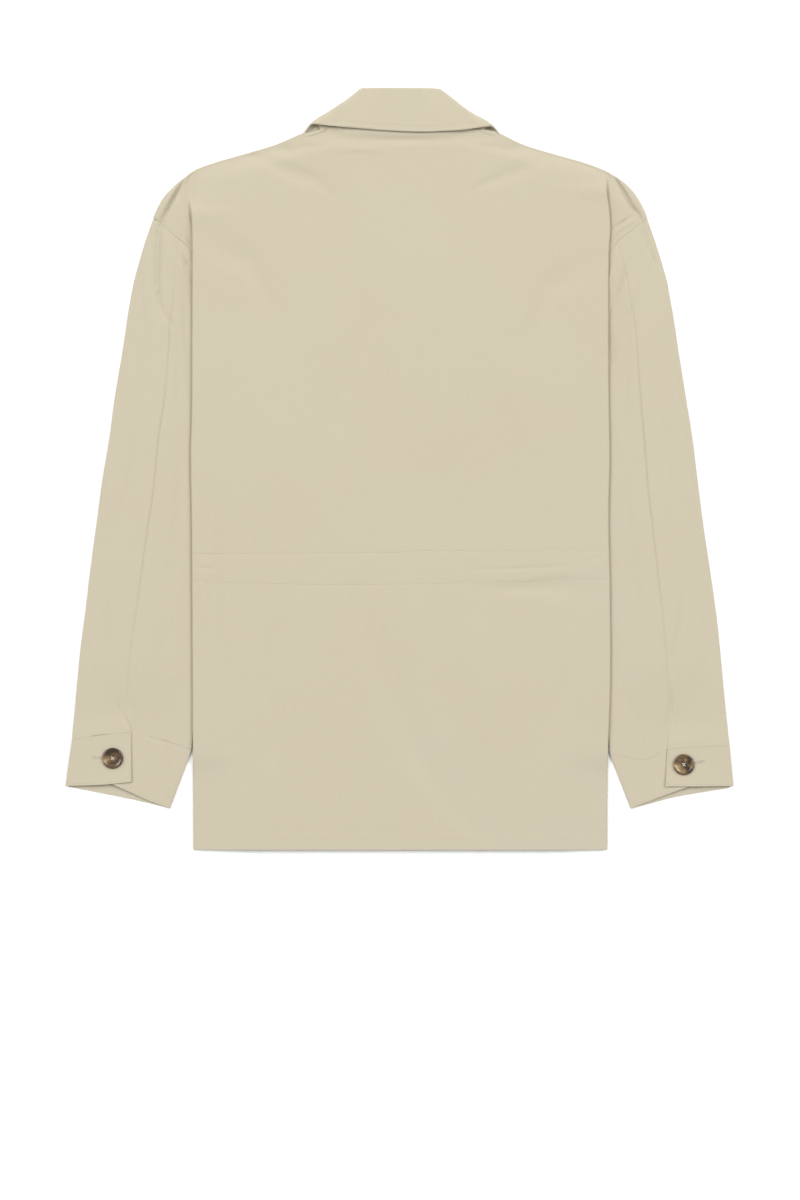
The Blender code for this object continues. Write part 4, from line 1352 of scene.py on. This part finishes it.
def horn_group():
    """Horn: brown body with paler streaks that bend like growth lines, and dark flecks."""
    tree = bpy.data.node_groups.new("horn_figure", "ShaderNodeTree")
    socket(tree, "Place", "INPUT", "Vector")
    socket(tree, "Streak", "OUTPUT", "Float")
    socket(tree, "Fleck", "OUTPUT", "Float")
    given = tree.nodes.new("NodeGroupInput")
    result = tree.nodes.new("NodeGroupOutput")
    streak = add_node(tree, "ShaderNodeTexNoise", {"Scale": 62.0, "Detail": 2.0, "Distortion": 1.3})
    stretch = add_node(tree, "ShaderNodeMapping", {"Rotation": (0.0, 0.0, 0.7), "Scale": (1.0, 1.4, 1.0)})
    link(tree, given.outputs["Place"], stretch.inputs["Vector"])
    link(tree, stretch.outputs[0], streak.inputs["Vector"])
    link(tree, streak.outputs[0], result.inputs["Streak"])
    fleck = add_node(tree, "ShaderNodeTexNoise", {"Scale": 520.0, "Detail": 2.0})
    link(tree, given.outputs["Place"], fleck.inputs["Vector"])
    link(tree, fleck.outputs[0], result.inputs["Fleck"])
    return tree


def horn(name, figure):
    material, tree, shader, coordinates = finish_start(name, 0.24)
    set_inputs(shader, {"Coat Weight": 0.35, "Coat Roughness": 0.12})
    group = tree.nodes.new("ShaderNodeGroup")
    group.node_tree = figure
    link(tree, coordinates.outputs["Object"], group.inputs["Place"])
    ramp = tree.nodes.new("ShaderNodeValToRGB")
    stops = ramp.color_ramp.elements
    stops[0].position = 0.38
    stops[0].color = (0.03, 0.015, 0.006, 1.0)
    stops[1].position = 0.68
    stops[1].color = (0.36, 0.27, 0.125, 1.0)
    middle = stops.new(0.53)
    middle.color = (0.155, 0.088, 0.033, 1.0)
    link(tree, group.outputs["Streak"], ramp.inputs[0])
    share = maths(tree, "MULTIPLY", maths(tree, "SUBTRACT", group.outputs["Fleck"], 0.4), 0.6)
    link(tree, mixed(tree, share, ramp.outputs[0], (0.05, 0.03, 0.015, 1.0)), shader.inputs["Base Color"])
    return material


# Sewing: every row of stitches is a path on the cloth, along which one stitch repeats
def stitch_tree():
    tree = bpy.data.node_groups.new("stitch_row", "GeometryNodeTree")
    socket(tree, "Geometry", "INPUT", "Geometry")
    socket(tree, "Pitch", "INPUT", "Float", 0.003)
    socket(tree, "Length", "INPUT", "Float", 0.0024)
    socket(tree, "Thickness", "INPUT", "Float", 0.0005)
    socket(tree, "Turn", "INPUT", "Float", 0.0)
    socket(tree, "Thread", "INPUT", "Material")
    socket(tree, "Geometry", "OUTPUT", "Geometry")
    new = tree.nodes.new
    given = new("NodeGroupInput")
    result = new("NodeGroupOutput")
    curve = new("GeometryNodeMeshToCurve")
    resample = new("GeometryNodeResampleCurve")
    resample.mode = "LENGTH"
    tangent = new("GeometryNodeInputTangent")
    align = new("FunctionNodeAlignRotationToVector")
    align.axis = "X"
    quarter = new("FunctionNodeAxisAngleToRotation")
    spin = new("FunctionNodeRotateRotation")
    spin.rotation_space = "LOCAL"
    jitter = new("FunctionNodeRandomValue")
    jitter.data_type = "FLOAT"
    set_inputs(jitter, {2: 0.88, 3: 1.06, "Seed": 11})
    stitch = new("GeometryNodeMeshUVSphere")
    set_inputs(stitch, {"Segments": 6, "Rings": 5, "Radius": 0.5})
    size = new("ShaderNodeCombineXYZ")
    grow = new("ShaderNodeVectorMath")
    grow.operation = "SCALE"
    instance = new("GeometryNodeInstanceOnPoints")
    real = new("GeometryNodeRealizeInstances")
    dress = new("GeometryNodeSetMaterial")
    soft = new("GeometryNodeSetShadeSmooth")
    joined = (
        (given, "Geometry", curve, 0),
        (curve, 0, resample, "Curve"),
        (given, "Pitch", resample, "Length"),
        (tangent, 0, align, "Vector"),
        (given, "Turn", quarter, "Angle"),
        (align, 0, spin, 0),
        (quarter, 0, spin, 1),
        (given, "Length", size, 0),
        (given, "Thickness", size, 1),
        (given, "Thickness", size, 2),
        (size, 0, grow, 0),
        (jitter, 1, grow, "Scale"),
        (resample, 0, instance, "Points"),
        (stitch, 0, instance, "Instance"),
        (spin, 0, instance, "Rotation"),
        (grow, 0, instance, "Scale"),
        (instance, 0, real, 0),
        (real, 0, soft, 0),
        (soft, 0, dress, 0),
        (given, "Thread", dress, "Material"),
        (dress, 0, result, 0),
    )
    for giver, given_by, taker, taken_by in joined:
        link(tree, giver.outputs[given_by], taker.inputs[taken_by])
    return tree


def sew(name, tree, paths, thread, pitch=3.0, length=2.4, thickness=0.5, turn_by=0.0):
    """Stitches along paths, as one plain mesh."""
    mesh = bpy.data.meshes.new(name + "_path")
    spots = []
    edges = []
    for path in paths:
        edges += [(len(spots) + index, len(spots) + index + 1) for index in range(len(path) - 1)]
        spots += [tuple(spot) for spot in path]
    mesh.from_pydata(spots, edges, [])
    guide = in_scene(name + "_path", mesh)
    rows = guide.modifiers.new("rows", "NODES")
    rows.node_group = tree
    values = {
        "Pitch": pitch * MM,
        "Length": length * MM,
        "Thickness": thickness * MM,
        "Turn": turn_by,
        "Thread": thread,
    }
    for item in tree.interface.items_tree:
        if item.in_out == "INPUT" and item.name in values:
            rows[item.identifier] = values[item.name]
    made = evaluated_mesh(guide, name)
    bpy.data.objects.remove(guide)
    return in_scene(name, made)


class Surface:
    """The shown side of some shells, for laying paths on it."""

    def __init__(self, shells, from_below=False):
        graph = bpy.context.evaluated_depsgraph_get()
        self.trees = [BVHTree.FromObject(item, graph) for item in shells]
        self.start = -0.02 if from_below else 0.05
        self.way = 1.0 if from_below else -1.0

    def spot(self, x, down, lift=0.05):
        """The point on the surface at x and down, or None beside it."""
        start = Vector((x * MM, (LENGTH / 2 - down) * MM, self.start))
        hits = [tree.ray_cast(start, Vector((0.0, 0.0, self.way)))[0] for tree in self.trees]
        hits = [hit for hit in hits if hit is not None]
        if not hits:
            return None
        best = min(hits, key=lambda hit: abs(hit.z - self.start))
        best.z -= self.way * lift * MM
        return best

    def paths(self, line, step=1.5, lift=0.05):
        """Runs of points on the surface along a line of x and down, broken where the cloth ends."""
        runs = [[]]
        for (ax, ad), (bx, bd) in zip(line, line[1:]):
            count = max(1, round(math.hypot(bx - ax, bd - ad) / step))
            for index in range(count):
                spot = self.spot(lerp(ax, bx, index / count), lerp(ad, bd, index / count), lift)
                if spot is None or (runs[-1] and abs(spot.z - runs[-1][-1].z) > 0.0012):
                    runs.append([])
                if spot is not None:
                    runs[-1].append(spot)
        return [run for run in runs if len(run) > 3]


def ride_on_root(piece, slot, *nodes):
    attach(piece, "root")
    if nodes:
        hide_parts(*nodes)
    return piece


# Rows of stitches on the jacket, which sink into the cloth where it rests on the floor
SUNK = -0.05
FULL_WAIST = (-206.0, 208.0)
COLLAR_STITCHED = (-74.0, 78.0)
COLLAR_STITCH_IN = 6.0
ARMHOLE_STITCH_UP = 6.5
BUTTONHOLE_LONG = 20.5
BUTTONHOLE_TILT = {LEFT: 1.1, RIGHT: 3.3}
BUTTONHOLE_SIDES = (-0.75, 0.75)


def waist_line(table, low, high):
    return [(x, float(row_curve(table, x))) for x in spaced(low, high, 4.0)]


def sew_back(tree, thread, shown):
    rows = []
    for table in (WAIST_UPPER, WAIST_LOWER):
        rows += shown.paths(waist_line(table, *FULL_WAIST))
    rows += shown.paths([(-205.0, HEM_STITCH_DOWN), (207.0, HEM_STITCH_DOWN)])
    ride_on_root(sew("stitches_back", tree, rows, thread), "twill")


def sew_collar(tree, thread, fall):
    line = []
    for x in spaced(*COLLAR_STITCHED, 2.0):
        line.append((x, fall_edge(LEFT if x < 0 else RIGHT, x) - COLLAR_STITCH_IN))
    rows = Surface([fall]).paths(line)
    piece = sew("stitches_collar", tree, rows, thread, pitch=2.3, length=1.35, thickness=0.55)
    ride_on_root(piece, "twill")


def sew_armholes(tree, thread, shown):
    rows = []
    for side in (LEFT, RIGHT):
        line = [(side * edge(ARMHOLE, down, side), down) for down in spaced(129.7, 168.0, 3.0)]
        upper = [(x, down - ARMHOLE_STITCH_UP) for x, down in line]
        rows += shown.paths([spot for spot in upper if abs(spot[0]) > edge(SIDE_FOLD, spot[1], side) + 1.5])
    ride_on_root(sew("stitches_armholes", tree, rows, thread, thickness=0.4), "twill")


def sew_cuffs(tree, thread, cuffs):
    rows = []
    for side in (LEFT, RIGHT):
        top = Surface([cuffs[side]])
        for table, low, high, inward, upward in (
            (TAB_END, 0.04, 0.96, 2.0, 0.0),
            (CUFF_TAB_EDGE, 0.04, 0.99, 0.0, 2.0),
            (CUFF_TOP_EDGE, 0.36, 0.97, 0.0, 2.2),
        ):
            line = [along(table, share, side) for share in spaced(low, high, 0.1)]
            rows += top.paths([(side * (out + inward), down - upward) for out, down in line])
    ride_on_root(sew("stitches_cuffs", tree, rows, thread, thickness=0.42), "twill")


def sew_buttonholes(tree, thread, cuffs, below):
    rows = []
    for side, out, down in CUFF_BUTTONS:
        top = Surface([cuffs[side]])
        start = (side * (out - 1.0), down - 0.1)
        end = (side * (out + BUTTONHOLE_LONG), down - BUTTONHOLE_TILT[side])
        for shift in BUTTONHOLE_SIDES:
            rows += top.paths([(start[0], start[1] + shift), (end[0], end[1] + shift)], 0.8)
        rows += top.paths([(end[0], end[1] - 1.4), (end[0], end[1] + 1.4)], 0.5)
    for down in FRONT_BUTTON_DOWN:
        for shift in BUTTONHOLE_SIDES:
            rows += below.paths([(-14.0, down + shift), (2.0, down + shift)], 0.8, 2 * SUNK)
    turned = math.pi / 2
    piece = sew("buttonholes", tree, rows, thread, pitch=0.55, length=1.25, thickness=0.45, turn_by=turned)
    ride_on_root(piece, "twill")


def sew_fronts(tree, thread, below, right_below):
    rows = below.paths([(-204.0, HEM_STITCH_DOWN), (14.0, HEM_STITCH_DOWN)], 1.5, SUNK)
    rows += below.paths([(12.0, 100.0), (12.0, 758.0)], 3.0, SUNK)
    rows += below.paths([(-16.0, 100.0), (-16.0, 740.0)], 3.0, SUNK)
    rows += right_below.paths([(16.0, HEM_STITCH_DOWN), (204.0, HEM_STITCH_DOWN)], 1.5, SUNK)
    for table in (WAIST_UPPER, WAIST_LOWER):
        line = waist_line(table, -204.0, 206.0)
        rows += below.paths([spot for spot in line if spot[0] < -18.0], 1.5, SUNK)
        rows += right_below.paths([spot for spot in line if spot[0] > 18.0], 1.5, SUNK)
    ride_on_root(sew("stitches_fronts", tree, rows, thread, thickness=0.3), "twill")


def sew_jacket(thread, back, fronts, cuffs, fall):
    tree = stitch_tree()
    shown = Surface([back])
    below = Surface([fronts[LEFT]], from_below=True)
    right_below = Surface([fronts[RIGHT]], from_below=True)
    sew_back(tree, thread, shown)
    sew_collar(tree, thread, fall)
    sew_armholes(tree, thread, shown)
    sew_cuffs(tree, thread, cuffs)
    sew_buttonholes(tree, thread, cuffs, below)
    sew_fronts(tree, thread, below, right_below)


# Buttons
HORN_ANGLE = math.radians(38)
DISC_SIDES = 64
HOLE_OFFSET = 2.3
THREAD_Z = 1.5
THREAD_ARCH = {-1: 0.25, 1: 0.6}
THREAD_R = 0.19
SHANK_R = 1.9
BUTTON_TURN = {LEFT: -10, RIGHT: 6}
HOLE_PINS = (
    # lower radius, upper radius, depth, middle height
    (0.95, 0.95, 8.0, 1.0),
    (0.8, 1.5, 0.7, 1.6),
)
DISC_PROFILE = (
    # share of the radius, height
    (0.0, 0.0),
    (0.8, 0.0),
    (0.93, 0.25),
    (1.0, 0.8),
    (1.0, 1.5),
    (0.975, 2.0),
    (0.93, 2.3),
    (0.87, 2.4),
    (0.81, 2.32),
    (0.75, 2.05),
    (0.68, 1.8),
    (0.58, 1.66),
    (0.3, 1.55),
    (0.0, 1.5),
)


def turned_disc(name, up):
    """Disc turned from the button's profile."""
    count = DISC_SIDES
    shape = bmesh.new()
    rings = []
    for share, height in DISC_PROFILE:
        z = height if up else BUTTON_THICK - height
        reach = 0.0 if share == 0.0 else BUTTON_D / 2 * share
        ring = []
        for index in range(1 if share == 0.0 else count):
            angle = 2 * math.pi * index / count
            ring.append(shape.verts.new((reach * math.cos(angle) * MM, reach * math.sin(angle) * MM, z * MM)))
        rings.append(ring)
    for low, high in zip(rings, rings[1:]):
        for index in range(count):
            after = (index + 1) % count
            if len(low) == 1:
                shape.faces.new((low[0], high[after], high[index]))
            elif len(high) == 1:
                shape.faces.new((low[index], low[after], high[0]))
            else:
                shape.faces.new((low[index], low[after], high[after], high[index]))
    bmesh.ops.recalc_face_normals(shape, faces=shape.faces)
    return in_scene(name + "_disc", finished_mesh(shape, name))


def hole_drill(name, side, up):
    """Cutter for the four holes, each a pin with a flared mouth."""
    pins = bmesh.new()
    for quarter in range(4):
        angle = math.radians(45 + 90 * quarter + BUTTON_TURN[side])
        for radius1, radius2, depth, middle in HOLE_PINS:
            if not up:
                radius1, radius2 = radius2, radius1
                middle = BUTTON_THICK - middle
            sizes = {"radius1": radius1 * MM, "radius2": radius2 * MM, "depth": depth * MM}
            pin = bmesh.ops.create_cone(pins, cap_ends=True, segments=20, **sizes)
            offset = Vector((HOLE_OFFSET * math.cos(angle), HOLE_OFFSET * math.sin(angle), middle)) * MM
            bmesh.ops.translate(pins, verts=pin["verts"], vec=offset)
    return in_scene(name + "_drill", finished_mesh(pins, name + "_drill"))


def button(name, side, out, down, bottom, finish, up=True):
    """Turned horn disc with a raised rim, a dished middle and four holes."""
    disc = turned_disc(name, up)
    drill = hole_drill(name, side, up)
    cut = disc.modifiers.new("holes", "BOOLEAN")
    cut.operation = "DIFFERENCE"
    cut.solver = "EXACT"
    cut.use_self = True
    cut.object = drill
    made = evaluated_mesh(disc, name)
    bpy.data.objects.remove(disc)
    bpy.data.objects.remove(drill)
    made.transform(Matrix.Translation(Vector(place(side, out, down, bottom)[:3])))
    made.materials.clear()
    made.materials.append(finish)
    made.shade_smooth()
    made.set_sharp_from_angle(angle=HORN_ANGLE)
    return in_scene(name, made)


def strand(shape, path, radius, sides=8):
    """Closed round tube along a path, added to a bmesh."""
    rings = []
    for index, spot in enumerate(path):
        way = (path[min(index + 1, len(path) - 1)] - path[max(index - 1, 0)]).normalized()
        across = way.cross(Vector((0.0, 0.0, 1.0)))
        across = across.normalized() if across.length > 0.01 else Vector((1.0, 0.0, 0.0))
        other = way.cross(across)
        ring = []
        for step in range(sides):
            angle = 2 * math.pi * step / sides
            ring.append(shape.verts.new(spot + (across * math.cos(angle) + other * math.sin(angle)) * radius))
        rings.append(ring)
    for low, high in zip(rings, rings[1:]):
        for step in range(sides):
            after = (step + 1) % sides
            shape.faces.new((low[step], low[after], high[after], high[step]))
    shape.faces.new(rings[0])
    shape.faces.new(rings[-1][::-1])


def button_thread(name, side, out, down, bottom, thread, up=True, shank=0.0):
    """Strands that cross between the four holes and hold the button."""
    middle = Vector(place(side, out, down, bottom)[:3])
    shape = bmesh.new()
    turned = math.radians(BUTTON_TURN[side])
    for row in (-1, 1):
        for strand_index in (-0.5, 0.5):
            path = []
            for share in spaced(-1.0, 1.0, 1 / 7):
                x = share * (HOLE_OFFSET + 0.1)
                y = strand_index * 0.36 * (1 - 0.35 * abs(share))
                plunge = THREAD_Z * max(0.0, abs(share) - 0.86) / 0.14
                rise = THREAD_Z + THREAD_ARCH[row] * (1 - share ** 4) - plunge
                rise -= 0.12 * abs(strand_index)
                z = rise if up else BUTTON_THICK - rise
                angle = turned + row * math.pi / 4
                spin_x = x * math.cos(angle) - y * math.sin(angle)
                spin_y = x * math.sin(angle) + y * math.cos(angle)
                path.append(middle + Vector((spin_x, spin_y, z)) * MM)
            strand(shape, path, THREAD_R * MM)
    if shank:
        low = middle - Vector((0.0, 0.0, shank * MM))
        high = middle + Vector((0.0, 0.0, 0.6 * MM))
        strand(shape, [low, (low + high) / 2, high], SHANK_R * MM, 12)
    bmesh.ops.recalc_face_normals(shape, faces=shape.faces)
    mesh = finished_mesh(shape, name)
    mesh.materials.append(thread)
    mesh.shade_smooth()
    return in_scene(name, mesh)


def button_jacket(horn_finish, pale):
    bottom = TAB_Z + WALL / 2 + GAP
    for side, out, down in CUFF_BUTTONS:
        name = "cuff_button_" + word(side)
        ride_on_root(button(name + "_horn", side, out, down, bottom, horn_finish), "horn", name)
        ride_on_root(button_thread(name + "_thread", side, out, down, bottom, pale, shank=0.5), "twill")
    for index, down in enumerate(FRONT_BUTTON_DOWN):
        name = "front_button_" + str(index + 1)
        ride_on_root(button(name + "_horn", LEFT, 0.0, down, 0.0, horn_finish, up=False), "horn", name)
        ride_on_root(button_thread(name + "_thread", LEFT, 0.0, down, 0.0, pale, up=False), "twill")


# Studio, in metres
FLOOR_REACH = 3.0
SKY = 0.56
SIDE_LIGHT = 1.61
SIDE_LIGHT_SPREAD = 34.0
TOP_LIGHT = 3.55
TOP_LIGHT_SIZE = (1.6, 0.5)
TOP_LIGHT_SPOT = (0.0, 1.1, 1.2)
CAMERA_X, CAMERA_Y = 0.0005, -0.131
VIEW_HEIGHT = 1.2
VIEWED_Z = 0.005


def make_floor():
    mesh = bpy.data.meshes.new("floor")
    corners = [(x * FLOOR_REACH, y * FLOOR_REACH, 0.0) for x, y in ((-1, -1), (1, -1), (1, 1), (-1, 1))]
    mesh.from_pydata(corners, [], [(0, 1, 2, 3)])
    floor = in_scene("floor", mesh)
    material, _, shader, _ = finish_start("pale_floor", 0.9)
    set_inputs(shader, {"Base Color": (0.95, 0.95, 0.95, 1.0), "Specular IOR Level": 0.0})
    mesh.materials.append(material)


def aim(item, spot, way):
    """Stands a light at a spot, shining along a direction."""
    item.location = spot
    item.rotation_mode = "QUATERNION"
    item.rotation_quaternion = Vector(way).to_track_quat("-Z", "Y")


def make_light(name, way, strength, spread):
    """A broad even light that shines along a direction."""
    light = bpy.data.lights.new(name, "SUN")
    light.energy = strength
    light.angle = math.radians(spread)
    aim(in_scene(name, light), [-2 * value for value in way], way)


def make_studio():
    scene = bpy.context.scene
    world = bpy.data.worlds.new("studio")
    scene.world = world
    world.use_nodes = True
    set_inputs(world.node_tree.nodes["Background"], {"Color": (1.0, 1.0, 1.0, 1.0), "Strength": SKY})
    for name, way in (("from_upper_left", (0.85, -0.45, -1.0)), ("from_upper_right", (-0.85, -0.45, -1.0))):
        make_light(name, way, SIDE_LIGHT, SIDE_LIGHT_SPREAD)
    lamp = bpy.data.lights.new("from_above_the_collar", "AREA")
    lamp.energy = TOP_LIGHT
    lamp.shape = "RECTANGLE"
    lamp.size, lamp.size_y = TOP_LIGHT_SIZE
    aim(in_scene("from_above_the_collar", lamp), TOP_LIGHT_SPOT, [-value for value in TOP_LIGHT_SPOT])
    camera = bpy.data.cameras.new("camera")
    camera.lens = 100.0
    camera.sensor_width = 36.0
    camera.clip_end = 20.0
    scene.camera = in_scene("camera", camera)
    scene.camera.location = (CAMERA_X, CAMERA_Y, VIEW_HEIGHT * camera.lens / camera.sensor_width + VIEWED_Z)
    scene.view_settings.view_transform = "Standard"


def main():
    weave = twill_group()
    cloth = twill_cloth("stone_twill", weave, STONE_DARK, STONE_LIGHT, STONE_PATCH)
    thread = sewing_thread("stone_thread", STONE_THREAD)
    pale = sewing_thread("pale_thread", PALE_THREAD)
    horn_finish = horn("brown_horn", horn_group())

    back = make_back(cloth)
    fronts = {side: make_front(side, cloth) for side in (LEFT, RIGHT)}
    sleeves = {side: make_sleeve(side, cloth) for side in (LEFT, RIGHT)}
    cuffs = {side: make_cuff(side, cloth) for side in (LEFT, RIGHT)}
    stand = make_stand(cloth)
    fall = make_fall(cloth)

    ride_on_root(back, "twill", "back")
    for side in (LEFT, RIGHT):
        name = word(side)
        ride_on_root(fronts[side], "twill", "front_" + name)
        top, under = sleeves[side]
        ride_on_root(top, "twill", "sleeve_top_" + name)
        ride_on_root(under, "twill", "sleeve_under_" + name)
        ride_on_root(cuffs[side], "twill", "cuff_" + name)
    ride_on_root(stand, "twill", "collar_stand")
    ride_on_root(fall, "twill", "collar_fall")

    sew_jacket(thread, back, fronts, cuffs, fall)
    button_jacket(horn_finish, pale)
    make_floor()
    make_studio()


main()
